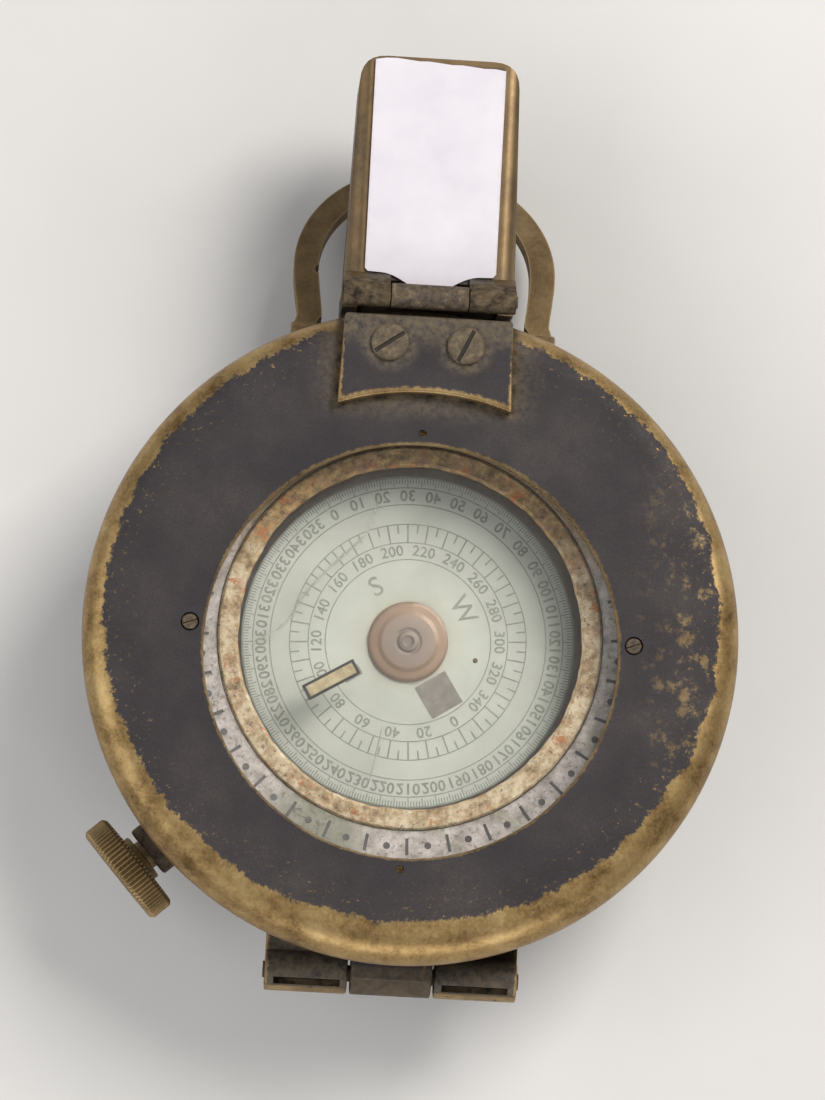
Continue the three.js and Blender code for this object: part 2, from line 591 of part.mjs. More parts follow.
function housingSolid() {
  const long = raised(prismSection(), -PRISM_END - 1, -PRISM_START, 5).rotate([90, 0, 0]);
  const plan = raised(prismPlan(0), PRISM_BACK, PRISM_FACE + 1, 4);
  let solid = long.intersect(plan);
  const hollow = block(-6.5, 6.5, PRISM_START + PRISM_WALL, PRISM_END - PRISM_WALL, PRISM_BACK - 1,
    PRISM_FACE - PRISM_WALL);
  const lensHole = discSolid(LENS_RADIUS + GAP, PRISM_FACE - 3, PRISM_FACE + 1).translate([0, LENS_Y, 0]);
  solid = solid.subtract(hollow).subtract(lensHole);
  for (const side of [-1, 1]) {
    solid = solid.add(prismKnuckle(side));
  }
  const pinHole = rodX(PRISM_PIN_RADIUS + GAP, -10, 10, 0, 0, SCREW_ROUND);
  const eyeHole = discSolid(1.6, -4, 4, SCREW_ROUND).rotate([90, 0, 0]).translate([0, PRISM_START, EYE_Z]);
  const eyeSlot = block(-0.4, 0.4, PRISM_START - 1, PRISM_START + 1.5, PRISM_BACK - 1, EYE_Z);
  solid = solid.subtract(pinHole).subtract(eyeHole).subtract(eyeSlot);
  for (const [x, y] of COVER_SCREWS) {
    const hole = discSolid(COVER_HOLE, PRISM_BACK, PRISM_BACK + 3, SCREW_ROUND);
    solid = solid.subtract(hole.translate([x, y, 0]));
  }
  return solid;
}

function prismKnuckle(side) {
  const near = SLIDE_NECK_HALF + GAP;
  const far = PRISM_HALF_NEAR;
  const barrel = rodBetween(PRISM_KNUCKLE_RADIUS, side * near, side * far, 0, 0);
  const webOutline = [[0.6, 0], [0.6, -1.1], [1.3, -2.1], [1.8, -3.5], [2.5, -3.5], [2.5, -2.1], [1.4, -0.4]];
  const web = sweptX(webOutline, Math.min(side * near, side * far), Math.max(side * near, side * far));
  return barrel.add(web);
}

function labelSolid() {
  const half = 6.4;
  const start = 2.75;
  const end = PRISM_END - 0.1;
  const bulge = 3.5;
  const corner = 1.2;
  const shape = new THREE.Shape();
  shape.moveTo(-half, start + corner);
  shape.quadraticCurveTo(-half, start, -half + corner, start);
  shape.lineTo(-bulge, start);
  shape.absellipse(0, start, bulge, 1.4, Math.PI, 2 * Math.PI, false, 0);
  shape.lineTo(half - corner, start);
  shape.quadraticCurveTo(half, start, half, start + corner);
  shape.lineTo(half, end);
  shape.lineTo(-half, end);
  shape.closePath();
  return raised(shape, PRISM_FACE + 0.15, PRISM_FACE + 0.3, 5);
}

function buildPrism() {
  const prism = new THREE.Group();
  prism.position.set(0, PRISM_HINGE_Y, PRISM_HINGE_Z);
  compass.add(prism);
  addMesh(prism, 'prism_housing', housingSolid(), wornBrass());
  let cover = raised(prismPlan(0.25), PRISM_BACK, PRISM_BACK + 0.75, 4);
  COVER_SCREWS.forEach(([x, y], index) => {
    const hole = discSolid(COVER_HOLE, PRISM_BACK - 1, PRISM_BACK + 2, SCREW_ROUND);
    cover = cover.subtract(hole.translate([x, y, 0]));
    const shank = discSolid(0.4, 0.2, 2.6, SCREW_ROUND);
    const screw = slottedHead(0.85, 0.35, 30 * index).rotate([180, 0, 0]).add(shank);
    const mesh = addMesh(prism, `prism_cover_screw_${index + 1}`, screw, brightBrass());
    mesh.position.set(x, y, PRISM_BACK - 0.4);
  });
  addMesh(prism, 'prism_cover', cover, darkPaint());
  const glassTop = PRISM_FACE - PRISM_WALL - 0.4;
  const glassNear = LENS_Y - PRISM_GLASS_LEG / 2;
  const outline = [
    [glassNear, glassTop], [glassNear + PRISM_GLASS_LEG, glassTop], [glassNear, glassTop - PRISM_GLASS_LEG]];
  addMesh(prism, 'prism_glass', sweptX(outline, -PRISM_GLASS_HALF, PRISM_GLASS_HALF), glass());
  const lens = revolve([
    [0, PRISM_FACE - 1.1], [LENS_RADIUS, PRISM_FACE - 1.1], [LENS_RADIUS, PRISM_FACE - 0.7],
    [LENS_RADIUS * 0.6, PRISM_FACE - 0.35], [0, PRISM_FACE - 0.25],
  ], SMALL_ROUND);
  addMesh(prism, 'prism_lens', lens.translate([0, LENS_Y, 0]), glass());
  addMesh(prism, 'paper_label', labelSolid(), paper());
}

// ---- clamp: drawn along +X, which points outwards from the case ----

function buildClamp() {
  const clamp = new THREE.Group();
  clamp.position.set(0, 0, CLAMP_Z);
  clamp.rotation.z = THREE.MathUtils.degToRad(CLAMP_ANGLE);
  compass.add(clamp);
  const shoe = rodX(1.35, SPIGOT_RADIUS + 0.45, GROOVE_OUTER + 1.8, 0, 0, SCREW_ROUND);
  addMesh(clamp, 'clamp_shoe', shoe, brightBrass());
  const edge = 0.35;
  const head = revolve([
    [0, CLAMP_HEAD_START - 0.6], [2.4, CLAMP_HEAD_START - 0.6], [2.4, CLAMP_HEAD_START],
    [CLAMP_HEAD_RADIUS - edge, CLAMP_HEAD_START], [CLAMP_HEAD_RADIUS, CLAMP_HEAD_START + edge],
    [CLAMP_HEAD_RADIUS, CLAMP_HEAD_END - edge], [CLAMP_HEAD_RADIUS - edge, CLAMP_HEAD_END],
    [0, CLAMP_HEAD_END],
  ], 32).rotate([0, 90, 0]);
  const stem = rodX(CLAMP_STEM_RADIUS, GROOVE_OUTER + 2.1, CLAMP_HEAD_START, 0, 0, SCREW_ROUND);
  addMesh(clamp, 'clamp_screw', head.add(stem), wornBrass());
}

// ---- thumb ring: drawn flat about its hinge, then let down ----

function buildThumbRing() {
  const hanging = new THREE.Group();
  hanging.position.set(0, THUMB_HINGE_Y, THUMB_HINGE_Z);
  hanging.rotation.x = THREE.MathUtils.degToRad(-THUMB_DROOP);
  compass.add(hanging);
  const inner = THUMB_RADIUS - THUMB_BAND;
  const shape = new THREE.Shape();
  shape.moveTo(inner, 0);
  shape.lineTo(THUMB_RADIUS, 0);
  shape.lineTo(THUMB_RADIUS, THUMB_CENTRE);
  shape.absarc(0, THUMB_CENTRE, THUMB_RADIUS, 0, Math.PI, false);
  shape.lineTo(-THUMB_RADIUS, 0);
  shape.lineTo(-inner, 0);
  shape.lineTo(-inner, THUMB_CENTRE);
  shape.absarc(0, THUMB_CENTRE, inner, Math.PI, 0, true);
  shape.closePath();
  let ring = raised(shape, -THUMB_THICK / 2, THUMB_THICK / 2, 28);
  for (const side of [-1, 1]) {
    ring = ring.add(rodBetween(THUMB_EYE_RADIUS, side * inner, side * THUMB_RADIUS, 0, 0));
  }
  ring = ring.subtract(rodX(THUMB_PIN_RADIUS + 0.2, -15, 15, 0, 0, SCREW_ROUND));
  addMesh(hanging, 'thumb_ring', ring, wornBrass());
}

buildCase();
buildGuide();
buildThumbPins();
buildLid();
buildBezel();
buildCard();
buildSlide();
buildPrism();
buildClamp();
buildThumbRing();

export default compass;
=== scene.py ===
import math
import random

import bmesh
import bpy
from mathutils import Matrix, Vector

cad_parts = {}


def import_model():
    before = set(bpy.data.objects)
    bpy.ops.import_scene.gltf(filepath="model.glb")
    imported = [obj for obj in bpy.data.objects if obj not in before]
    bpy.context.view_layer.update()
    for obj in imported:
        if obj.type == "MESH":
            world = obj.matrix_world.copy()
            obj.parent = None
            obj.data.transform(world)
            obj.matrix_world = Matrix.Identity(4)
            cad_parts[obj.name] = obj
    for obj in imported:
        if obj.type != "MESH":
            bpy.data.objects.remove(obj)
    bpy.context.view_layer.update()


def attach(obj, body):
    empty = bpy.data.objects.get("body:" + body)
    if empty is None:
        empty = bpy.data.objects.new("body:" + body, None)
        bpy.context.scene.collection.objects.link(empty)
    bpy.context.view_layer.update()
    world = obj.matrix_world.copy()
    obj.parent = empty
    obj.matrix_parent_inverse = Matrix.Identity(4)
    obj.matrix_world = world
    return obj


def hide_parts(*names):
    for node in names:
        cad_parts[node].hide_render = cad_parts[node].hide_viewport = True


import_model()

MM = 0.001
random.seed(11)

# ---- sizes, in millimetres, that the CAD model also uses ----

WINDOW_RADIUS = 19.8
WINDOW_Y = -1.6
LID_HINGE = (-32.3, 13.2)          # the three hinges: Y and Z of the axis, which runs along X
PRISM_HINGE = (32.4, 23.3)
THUMB_HINGE = (29.7, 11.3)
LID_PIN_HOLE = 1.1                 # radii of the holes for the hinge pins
PRISM_PIN_HOLE = 0.9
THUMB_PIN_HOLE = 0.8
LID_SCREW_X = 21.2
PINHOLE_REACH = 20.85
CLAMP_ANGLE = 222
CLAMP_Z = 11.3
CARD_TOP = 13.3
CARD_RADIUS = 16.2
CARD_NORTH = -57
SCALE_OUTER = 23.2
SCALE_OUTER_Z = 20.2
SCALE_INNER = 18.6
SCALE_INNER_Z = 18.9
TONGUE_ARC = 24.6
TONGUE_HALF = 8.4
TONGUE_END = 30.4
TONGUE_FOOT = 23.15
TONGUE_TOP = 24.35
TONGUE_SCREW = (3.65, 27.7)
SHANK_HOLE = 0.95
KEEPER_ANGLES = (0, 125, 290)
FLAW_BOTTOM = 15.82
FLAW_TOP = 15.87

# ---- the view and the light ----

CAMERA_PLACE = (-19.31, -41.61, 466.8)
CAMERA_TOWARD = (0.0423, 0.1110, -0.9929)
CAMERA_ROLL = 23.97
CAMERA_LENS = 153.3
LAMP_TARGET = (0, 0, 15)
FLOOR_GAP = 0.0001                 # metres


# ---- mesh tools: lengths in millimetres, meshes in metres ----

def link(name, mesh):
    obj = bpy.data.objects.new(name, mesh)
    bpy.context.scene.collection.objects.link(obj)
    return obj


def from_bmesh(name, bm):
    bmesh.ops.recalc_face_normals(bm, faces=bm.faces)
    mesh = bpy.data.meshes.new(name)
    bm.to_mesh(mesh)
    bm.free()
    return link(name, mesh)


def fillet(outline, radius, steps=3):
    """Rounds every corner of a closed outline. A point with a third value takes that as its radius."""
    result = []
    count = len(outline)
    for i, point in enumerate(outline):
        here = Vector(point[:2])
        want = point[2] if len(point) > 2 else radius
        back = Vector(outline[i - 1][:2]) - here
        ahead = Vector(outline[(i + 1) % count][:2]) - here
        room = 0.45 * min(back.length, ahead.length)
        on_axis = abs(here.x) < 1e-6
        if want <= 0 or on_axis or room < 1e-4:
            result.append(tuple(here))
            continue
        angle = back.angle(ahead)
        if angle > math.radians(172):
            result.append(tuple(here))
            continue
        cut = min(want / math.tan(angle / 2), room)
        start = here + back.normalized() * cut
        end = here + ahead.normalized() * cut
        for step in range(steps + 1):
            t = step / steps
            spot = start * (1 - t) ** 2 + here * 2 * t * (1 - t) + end * t ** 2
            result.append(tuple(spot))
    return result


def polar(radius, turn, height):
    """A point in metres, from a radius and height in millimetres and an angle in radians."""
    return radius * math.cos(turn) * MM, radius * math.sin(turn) * MM, height * MM


def direction(degrees):
    """The unit vector along an azimuth, and the one at right angles to it."""
    turn = math.radians(degrees)
    return Vector((math.cos(turn), math.sin(turn), 0)), Vector((-math.sin(turn), math.cos(turn), 0))


def join_rings(bm, rings):
    """Faces between each ring of vertices and the next, and between the last and the first."""
    for i, ring in enumerate(rings):
        other = rings[(i + 1) % len(rings)]
        for s in range(len(ring)):
            t = (s + 1) % len(ring)
            corners = list(dict.fromkeys([ring[s], ring[t], other[t], other[s]]))
            if len(corners) > 2:
                bm.faces.new(corners)


def close_solid(bm, low, high):
    """Caps two matching loops of vertices and joins their sides."""
    bm.faces.new(low)
    bm.faces.new(high)
    for i in range(len(low)):
        j = (i + 1) % len(low)
        bm.faces.new([low[i], low[j], high[j], high[i]])


def lathe(name, outline, segments, ripple=None):
    """A solid of revolution about Z. ripple is (count, depth, least radius) and cuts serrations."""
    bm = bmesh.new()
    rings = []
    for radius, height in outline:
        if radius < 1e-6:
            rings.append([bm.verts.new((0, 0, height * MM))] * segments)
            continue
        ring = []
        for s in range(segments):
            turn = 2 * math.pi * s / segments
            r = radius
            if ripple and radius > ripple[2]:
                r -= ripple[1] * (0.5 - 0.5 * math.cos(turn * ripple[0]))
            ring.append(bm.verts.new(polar(r, turn, height)))
        rings.append(ring)
    join_rings(bm, rings)
    return from_bmesh(name, bm)


def rod(name, radius, start, end, edge=0.15, segments=48):
    """A round rod between two points, its end edges rounded."""
    a, b = Vector(start), Vector(end)
    length = (b - a).length
    outline = fillet([(0, 0), (radius, 0), (radius, length), (0, length)], edge)
    obj = lathe(name, outline, segments)
    turn = Vector((0, 0, 1)).rotation_difference(b - a).to_matrix().to_4x4()
    obj.data.transform(Matrix.Translation(a * MM) @ turn)
    return obj


def plate(name, outline, bottom, top, edge=0.0, steps=2):
    """A flat outline raised from bottom to top, with its sharp edges rounded."""
    bm = bmesh.new()
    low = [bm.verts.new((x * MM, y * MM, bottom * MM)) for x, y in outline]
    high = [bm.verts.new((x * MM, y * MM, top * MM)) for x, y in outline]
    bm.faces.new(low[::-1])
    bm.faces.new(high)
    for i in range(len(outline)):
        j = (i + 1) % len(outline)
        bm.faces.new([low[i], low[j], high[j], high[i]])
    bmesh.ops.recalc_face_normals(bm, faces=bm.faces)
    if edge > 0:
        sharp = [e for e in bm.edges if e.calc_face_angle(0) > math.radians(40)]
        bmesh.ops.bevel(bm, geom=sharp, offset=edge * MM, segments=steps, affect="EDGES", profile=0.5,
                        clamp_overlap=True)
    return from_bmesh(name, bm)


def block(name, low, high, edge=0.0, steps=2):
    outline = [(low[0], low[1]), (high[0], low[1]), (high[0], high[1]), (low[0], high[1])]
    return plate(name, outline, low[2], high[2], edge, steps)


def evaluated(obj):
    """Replaces an object's mesh by what its modifiers make of it."""
    bpy.context.view_layer.update()
    graph = bpy.context.evaluated_depsgraph_get()
    mesh = bpy.data.meshes.new_from_object(obj.evaluated_get(graph))
    obj.modifiers.clear()
    obj.data = mesh


def combine(target, tool, operation):
    modifier = target.modifiers.new("combine", "BOOLEAN")
    modifier.object = tool
    modifier.operation = operation
    modifier.solver = "EXACT"
    evaluated(target)
    bpy.data.objects.remove(tool)
    return target


def cut(target, tool):
    return combine(target, tool, "DIFFERENCE")


def add(target, tool):
    return combine(target, tool, "UNION")


def drill(target, radius, start, end, segments=24):
    return cut(target, rod("hole", radius, start, end, 0, segments))


def soften(obj, width, segments, angle):
    """Adds a modifier that rounds the edges sharper than an angle in degrees."""
    rounding = obj.modifiers.new("edges", "BEVEL")
    rounding.width = width * MM
    rounding.segments = segments
    rounding.limit_method = "ANGLE"
    rounding.angle_limit = math.radians(angle)


def moved(obj, matrix):
    obj.data.transform(matrix)
    return obj


def shift(x, y, z):
    return Matrix.Translation(Vector((x, y, z)) * MM)


def turned(degrees, axis="Z"):
    return Matrix.Rotation(math.radians(degrees), 4, axis)


def arc(cx, cy, radius, start, end, count):
    """Points on an arc, angles in degrees."""
    points = []
    for i in range(count + 1):
        turn = math.radians(start + (end - start) * i / count)
        points.append((cx + radius * math.cos(turn), cy + radius * math.sin(turn)))
    return points


def merged(name, objects):
    """Joins loose meshes into one object."""
    bm = bmesh.new()
    for obj in objects:
        bm.from_mesh(obj.data)
        bpy.data.objects.remove(obj)
    return from_bmesh(name, bm)


def smooth(obj, angle=32):
    obj.data.shade_smooth()
    obj.data.set_sharp_from_angle(angle=math.radians(angle))
    return obj


def piece(obj, body, material, replaced=(), angle=32):
    """Finishes a new piece: shading, material, the body it rides on and the CAD nodes it stands for."""
    smooth(obj, angle)
    even = obj.modifiers.new("even_faces", "WEIGHTED_NORMAL")
    even.keep_sharp = True
    obj.data.materials.clear()
    obj.data.materials.append(material)
    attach(obj, body)
    if replaced:
        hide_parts(*replaced)
    return obj


# ---- node material tools ----

class Shade:
    """A node material with one Principled shader, built from sockets in object space."""

    def __init__(self, name):
        self.material = bpy.data.materials.new(name)
        self.material.use_nodes = True
        self.nodes = self.material.node_tree.nodes
        self.links = self.material.node_tree.links
        self.nodes.clear()
        self.out = self.nodes.new("ShaderNodeOutputMaterial")
        self.shader = self.nodes.new("ShaderNodeBsdfPrincipled")
        self.links.new(self.shader.outputs[0], self.out.inputs["Surface"])
        self.place = self.nodes.new("ShaderNodeTexCoord").outputs["Object"]
        split = self.nodes.new("ShaderNodeSeparateXYZ")
        self.links.new(self.place, split.inputs[0])
        self.x = self.math("MULTIPLY", split.outputs[0], 1000)
        self.y = self.math("MULTIPLY", split.outputs[1], 1000)
        self.z = self.math("MULTIPLY", split.outputs[2], 1000)

    def put(self, value, socket):
        if isinstance(value, bpy.types.NodeSocket):
            self.links.new(value, socket)
        else:
            socket.default_value = value

    def set(self, name, value):
        self.put(value, self.shader.inputs[name])

    def math(self, operation, a, b=0.0, clamp=False):
        node = self.nodes.new("ShaderNodeMath")
        node.operation = operation
        node.use_clamp = clamp
        self.put(a, node.inputs[0])
        self.put(b, node.inputs[1])
        return node.outputs[0]

    def chain(self, operation, values):
        total = values[0]
        for value in values[1:]:
            total = self.math(operation, total, value)
        return total

    def plus(self, *values):
        return self.chain("ADD", values)

    def times(self, *values):
        return self.chain("MULTIPLY", values)

    def highest(self, *values):
        return self.chain("MAXIMUM", values)

    def invert(self, value):
        return self.math("SUBTRACT", 1.0, value, clamp=True)

    def radius(self, cx=0.0, cy=0.0):
        """Distance in millimetres from a line along Z."""
        dx = self.math("SUBTRACT", self.x, cx)
        dy = self.math("SUBTRACT", self.y, cy)
        return self.math("SQRT", self.plus(self.times(dx, dx), self.times(dy, dy)))

    def step(self, value, low, high):
        """0 below low, 1 above high, smooth between; low may be above high."""
        node = self.nodes.new("ShaderNodeMapRange")
        node.interpolation_type = "SMOOTHSTEP"
        flip = low > high
        self.put(value, node.inputs["Value"])
        node.inputs["From Min"].default_value = min(low, high)
        node.inputs["From Max"].default_value = max(low, high)
        node.inputs["To Min"].default_value = 1.0 if flip else 0.0
        node.inputs["To Max"].default_value = 0.0 if flip else 1.0
        return node.outputs[0]

    def noise(self, size, detail=4.0, roughness=0.55, stretch=None, warp=0.0):
        """Noise whose blotches are about size millimetres across."""
        node = self.nodes.new("ShaderNodeTexNoise")
        node.inputs["Scale"].default_value = 1000 / size
        node.inputs["Detail"].default_value = detail
        node.inputs["Roughness"].default_value = roughness
        node.inputs["Distortion"].default_value = warp
        vector = self.place
        if stretch:
            scaled = self.nodes.new("ShaderNodeVectorMath")
            scaled.operation = "MULTIPLY"
            self.links.new(vector, scaled.inputs[0])
            scaled.inputs[1].default_value = stretch
            vector = scaled.outputs[0]
        self.links.new(vector, node.inputs["Vector"])
        return node.outputs["Fac"]

    def patches(self, size, detail, roughness, low, high):
        """Soft-edged patches cut out of noise."""
        return self.step(self.noise(size, detail, roughness), low, high)

    def ragged(self, value, size, detail, roughness, amount):
        """A value made uneven by noise times amount."""
        return self.plus(value, self.times(self.noise(size, detail, roughness), amount))

    def side(self):
        """Distance in millimetres from the plane between left and right."""
        return self.math("ABSOLUTE", self.x)

    def ramp(self, value, *stops):
        node = self.nodes.new("ShaderNodeValToRGB")
        self.put(value, node.inputs[0])
        elements = node.color_ramp.elements
        while len(elements) < len(stops):
            elements.new(0.5)
        for element, (position, colour) in zip(elements, stops):
            element.position = position
            element.color = (*colour, 1)
        return node.outputs["Color"]

    def mix(self, share, a, b):
        node = self.nodes.new("ShaderNodeMix")
        node.data_type = "RGBA"
        self.put(share, node.inputs[0])
        for value, socket in ((a, node.inputs[6]), (b, node.inputs[7])):
            self.put(value if isinstance(value, bpy.types.NodeSocket) else (*value, 1), socket)
        return node.outputs[2]

    def blend(self, share, a, b):
        """a where share is 0, b where it is 1, for plain numbers."""
        node = self.nodes.new("ShaderNodeMix")
        node.data_type = "FLOAT"
        self.put(share, node.inputs[0])
        self.put(a, node.inputs[2])
        self.put(b, node.inputs[3])
        return node.outputs[0]

    def edges(self, width, softness=0.5):
        """Near 1 on edges: where the surface rounded over width millimetres would face elsewhere."""
        bevel = self.nodes.new("ShaderNodeBevel")
        bevel.samples = 6
        bevel.inputs["Radius"].default_value = width * MM
        geometry = self.nodes.new("ShaderNodeNewGeometry")
        dot = self.nodes.new("ShaderNodeVectorMath")
        dot.operation = "DOT_PRODUCT"
        self.links.new(bevel.outputs[0], dot.inputs[0])
        self.links.new(geometry.outputs["Normal"], dot.inputs[1])
        return self.step(dot.outputs["Value"], 1.0, 1.0 - 0.25 * softness)

    def cover(self, share, under, over):
        """Shows the shader under where share is 0, and over where it is 1."""
        both = self.nodes.new("ShaderNodeMixShader")
        self.put(share, both.inputs[0])
        self.links.new(under.outputs[0], both.inputs[1])
        self.links.new(over.outputs[0], both.inputs[2])
        self.links.new(both.outputs[0], self.out.inputs["Surface"])

    def bump(self, height, depth, strength):
        node = self.nodes.new("ShaderNodeBump")
        node.inputs["Strength"].default_value = strength
        node.inputs["Distance"].default_value = depth * MM
        self.links.new(height, node.inputs["Height"])
        self.links.new(node.outputs[0], self.shader.inputs["Normal"])


# ---- finishes shared by several materials ----

PAINT_DARK = (0.024, 0.0208, 0.0228)
PAINT_MID = (0.036, 0.0308, 0.0325)
PAINT_WORN = (0.06, 0.05, 0.046)
BRASS_DARK = (0.13, 0.078, 0.03)
BRASS_MID = (0.31, 0.205, 0.085)
BRASS_BRIGHT = (0.5, 0.36, 0.17)
DUST = (0.16, 0.125, 0.075)
# the grime tones also serve as painted shade in slots, recesses and below the tongue plate
GRIME_AND_SHADE_DARK = (0.016, 0.012, 0.008)
GRIME_AND_SHADE_LIGHT = (0.135, 0.098, 0.057)
PATINA = (0.15, 0.105, 0.062)
# painted shade on brass, low on the side of the lid
BRASS_IN_SHADE = (0.2, 0.095, 0.018)


def brass_colour(s, age=0.5, size=3.5):
    """Brown patina to bright metal. age from 0, bright, to 1, dark."""
    broad = s.noise(size, 5, 0.6)
    fine = s.noise(0.35, 5, 0.7)
    mixed = s.plus(s.times(broad, 0.65), s.times(fine, 0.35))
    low = 0.32 + 0.12 * age
    return s.ramp(mixed, (low, BRASS_DARK), (low + 0.14, BRASS_MID), (low + 0.34, BRASS_BRIGHT))


def paint_colour(s):
    broad = s.noise(7, 4, 0.6)
    fine = s.noise(0.25, 4, 0.7)
    mixed = s.plus(s.times(broad, 0.6), s.times(fine, 0.4))
    return s.ramp(mixed, (0.36, PAINT_DARK), (0.52, PAINT_MID), (0.7, PAINT_WORN))


def scratches(s):
    """Thin streaks, near 1 on a streak."""
    streak = s.noise(0.3, 3, 0.6, stretch=(1.0, 0.06, 1.0), warp=0.4)
    return s.step(streak, 0.66, 0.72)


def worn_paint(name, brass_share, dust_share, grime_and_shade_share=None, age=0.45, rough=0.42, patina=0.0,
               low_shade=0.0):
    """Dark paint over brass. The three shares say where bare metal shows, where dust lies, and where dark
    grime lies together with painted shade. rough is the paint's roughness, patina browns the metal, and
    low_shade paints shade on the metal, a deep orange low on the side of the lid."""
    s = Shade(name)
    bare = brass_share(s)
    streaks = s.times(scratches(s), 0.12)
    painted = s.mix(streaks, paint_colour(s), PAINT_WORN)
    metal = s.mix(patina, brass_colour(s, age), PATINA)
    # painted shade: the brass turns deep orange low on the side of the lid
    painted_low_shade = s.times(s.step(s.z, 21.9, 19.4), low_shade)
    metal = s.mix(painted_low_shade, metal, BRASS_IN_SHADE)
    colour = s.mix(bare, painted, metal)
    flecks = s.patches(0.42, 5, 0.8, 0.66, 0.71)
    dirt = s.times(flecks, 0.4)
    heavy = s.times(dust_share(s), s.patches(0.7, 6, 0.75, 0.3, 0.66))
    dirt = s.highest(dirt, s.times(heavy, 0.7))
    colour = s.mix(dirt, colour, DUST)
    if grime_and_shade_share:
        # dark grime, together with any painted shade that the share carries
        black = s.times(grime_and_shade_share(s), s.patches(0.8, 6, 0.72, 0.12, 0.42))
        dark_tone = s.ramp(s.noise(1.1, 6, 0.75), (0.36, GRIME_AND_SHADE_DARK), (0.62, GRIME_AND_SHADE_LIGHT))
        colour = s.mix(s.times(black, 0.94), colour, dark_tone)
        dirt = s.highest(dirt, s.times(black, 0.8))
    s.set("Base Color", colour)
    s.set("Metallic", s.times(bare, s.invert(s.times(dirt, 1.1)), 0.8))
    rough_paint = s.ragged(rough - 0.1, 0.6, 4, 0.7, 0.25)
    rough_metal = s.ragged(0.28, 0.5, 4, 0.7, 0.28)
    bare_or_paint = s.blend(bare, rough_paint, rough_metal)
    s.set("Roughness", s.highest(bare_or_paint, s.times(dirt, 1.2)))
    s.set("Specular IOR Level", 0.25)
    height = s.plus(s.times(s.invert(bare), 0.6), s.times(s.noise(0.22, 4, 0.7), 0.25), s.times(dirt, 0.5))
    s.bump(height, 0.035, 0.6)
    return s.material


def plain_brass(name, age=0.5, edge_width=0.35, dirt_amount=0.3, size=3.0, patina=0.0):
    """Bare brass, brighter on its edges, with dirt in patches. patina browns and dulls it."""
    s = Shade(name)
    rubbed = s.edges(edge_width)
    base = s.mix(patina, brass_colour(s, age, size), PATINA)
    colour = s.mix(s.times(rubbed, 0.65), base, BRASS_BRIGHT)
    dirt = s.times(s.patches(0.8, 6, 0.75, 0.48, 0.7), dirt_amount, s.invert(s.times(rubbed, 0.8)))
    colour = s.mix(dirt, colour, (0.06, 0.045, 0.03))
    s.set("Base Color", colour)
    s.set("Metallic", s.times(s.invert(s.times(dirt, 1.2)), 1.0 - 0.4 * patina))
    s.set("Roughness", s.plus(s.ragged(0.27 + 0.15 * patina, 0.4, 4, 0.7, 0.25), s.times(dirt, 0.5)))
    height = s.plus(s.times(s.noise(0.15, 3, 0.7), 0.4), s.times(s.noise(1.4, 4, 0.6), 0.5))
    s.bump(height, 0.03, 0.5)
    return s.material


# ---- materials of single parts ----

def lid_knuckle(s):
    """1 on the knuckle and web below the rim of the lid."""
    return s.times(s.step(s.y, -31.4, -31.9), s.step(s.z, 17.5, 17.0))


def lid_bare(s):
    """Bare brass round the rim, widest at the hinge side, and round the window."""
    r = s.radius()
    south = s.math("DIVIDE", s.times(s.y, -1.0), s.highest(r, 1.0))
    limit = s.plus(29.3, s.times(south, -1.35), s.times(south, south, -0.6))
    ragged = s.plus(s.times(s.noise(2.4, 6, 0.7), 2.6), s.times(s.noise(0.5, 4, 0.7), 1.2), -1.9)
    distance = s.math("SUBTRACT", s.plus(r, ragged), limit)
    rim = s.step(distance, -0.12, 0.2)
    chips = s.times(s.patches(0.55, 5, 0.8, 0.6, 0.66), s.step(distance, -4.2, -0.4))
    east = s.times(s.step(s.x, 20, 27), s.patches(1.6, 6, 0.75, 0.53, 0.64))
    side_band = s.times(s.step(s.z, 19.6, 18.8), s.step(s.z, 15.0, 15.7))
    side_paint = s.times(side_band, s.patches(1.8, 6, 0.7, 0.36, 0.44))
    window = s.step(s.ragged(s.radius(0, WINDOW_Y), 0.6, 4, 0.7, 0.5), 20.35, 20.15)
    bare = s.highest(rim, s.times(chips, 0.9), s.times(east, 0.5), s.times(window, 0.6))
    hinge = lid_knuckle(s)
    return s.times(bare, s.invert(side_paint), s.invert(s.times(hinge, 0.85)))


def lid_dust(s):
    """Dirt that has gathered round the tongue plate, and lightly over the south half."""
    side = s.side()
    near_tongue = s.times(s.step(side, 12, 8.0), s.step(s.y, 19.6, 22.6), 0.75)
    hinge = s.times(lid_knuckle(s), 0.7)
    return s.highest(near_tongue, hinge)


def lid_grime(s):
    """A painted shadow along the foot of the tongue plate, and dark dirt in the hinge."""
    foot = s.math("SUBTRACT", s.radius(0, WINDOW_Y), TONGUE_ARC)
    # painted shadow: a dark band just outside the tongue plate's curved foot
    line = s.times(s.step(foot, -0.7, -0.1), s.step(s.side(), 9.2, 8.4), s.step(s.y, 19, 20))
    hinge = s.times(lid_knuckle(s), 0.4)
    return s.highest(line, hinge)


def tongue_bare(s):
    side = s.ragged(s.side(), 0.7, 5, 0.7, 0.8)
    bottom = s.ragged(s.radius(0, WINDOW_Y), 0.7, 5, 0.7, -0.8)
    flanks = s.step(side, 8.3, 8.55)
    return s.highest(flanks, s.step(bottom, TONGUE_ARC + 0.3, TONGUE_ARC - 0.05))


def screw_distance(s):
    """Distance from the axis of the nearer tongue screw."""
    dx = s.math("SUBTRACT", s.side(), TONGUE_SCREW[0])
    dy = s.math("SUBTRACT", s.y, TONGUE_SCREW[1])
    return s.math("SQRT", s.plus(s.times(dx, dx), s.times(dy, dy)))


def tongue_dust(s):
    top = s.step(s.ragged(s.y, 1.5, 5, 0.7, 3.0), 28.4, 30.4)
    return s.highest(top, s.step(screw_distance(s), 3.3, 1.9))


def tongue_grime(s):
    return s.times(s.step(s.ragged(s.y, 1.1, 5, 0.7, 1.6), 30.6, 31.3), 0.6)


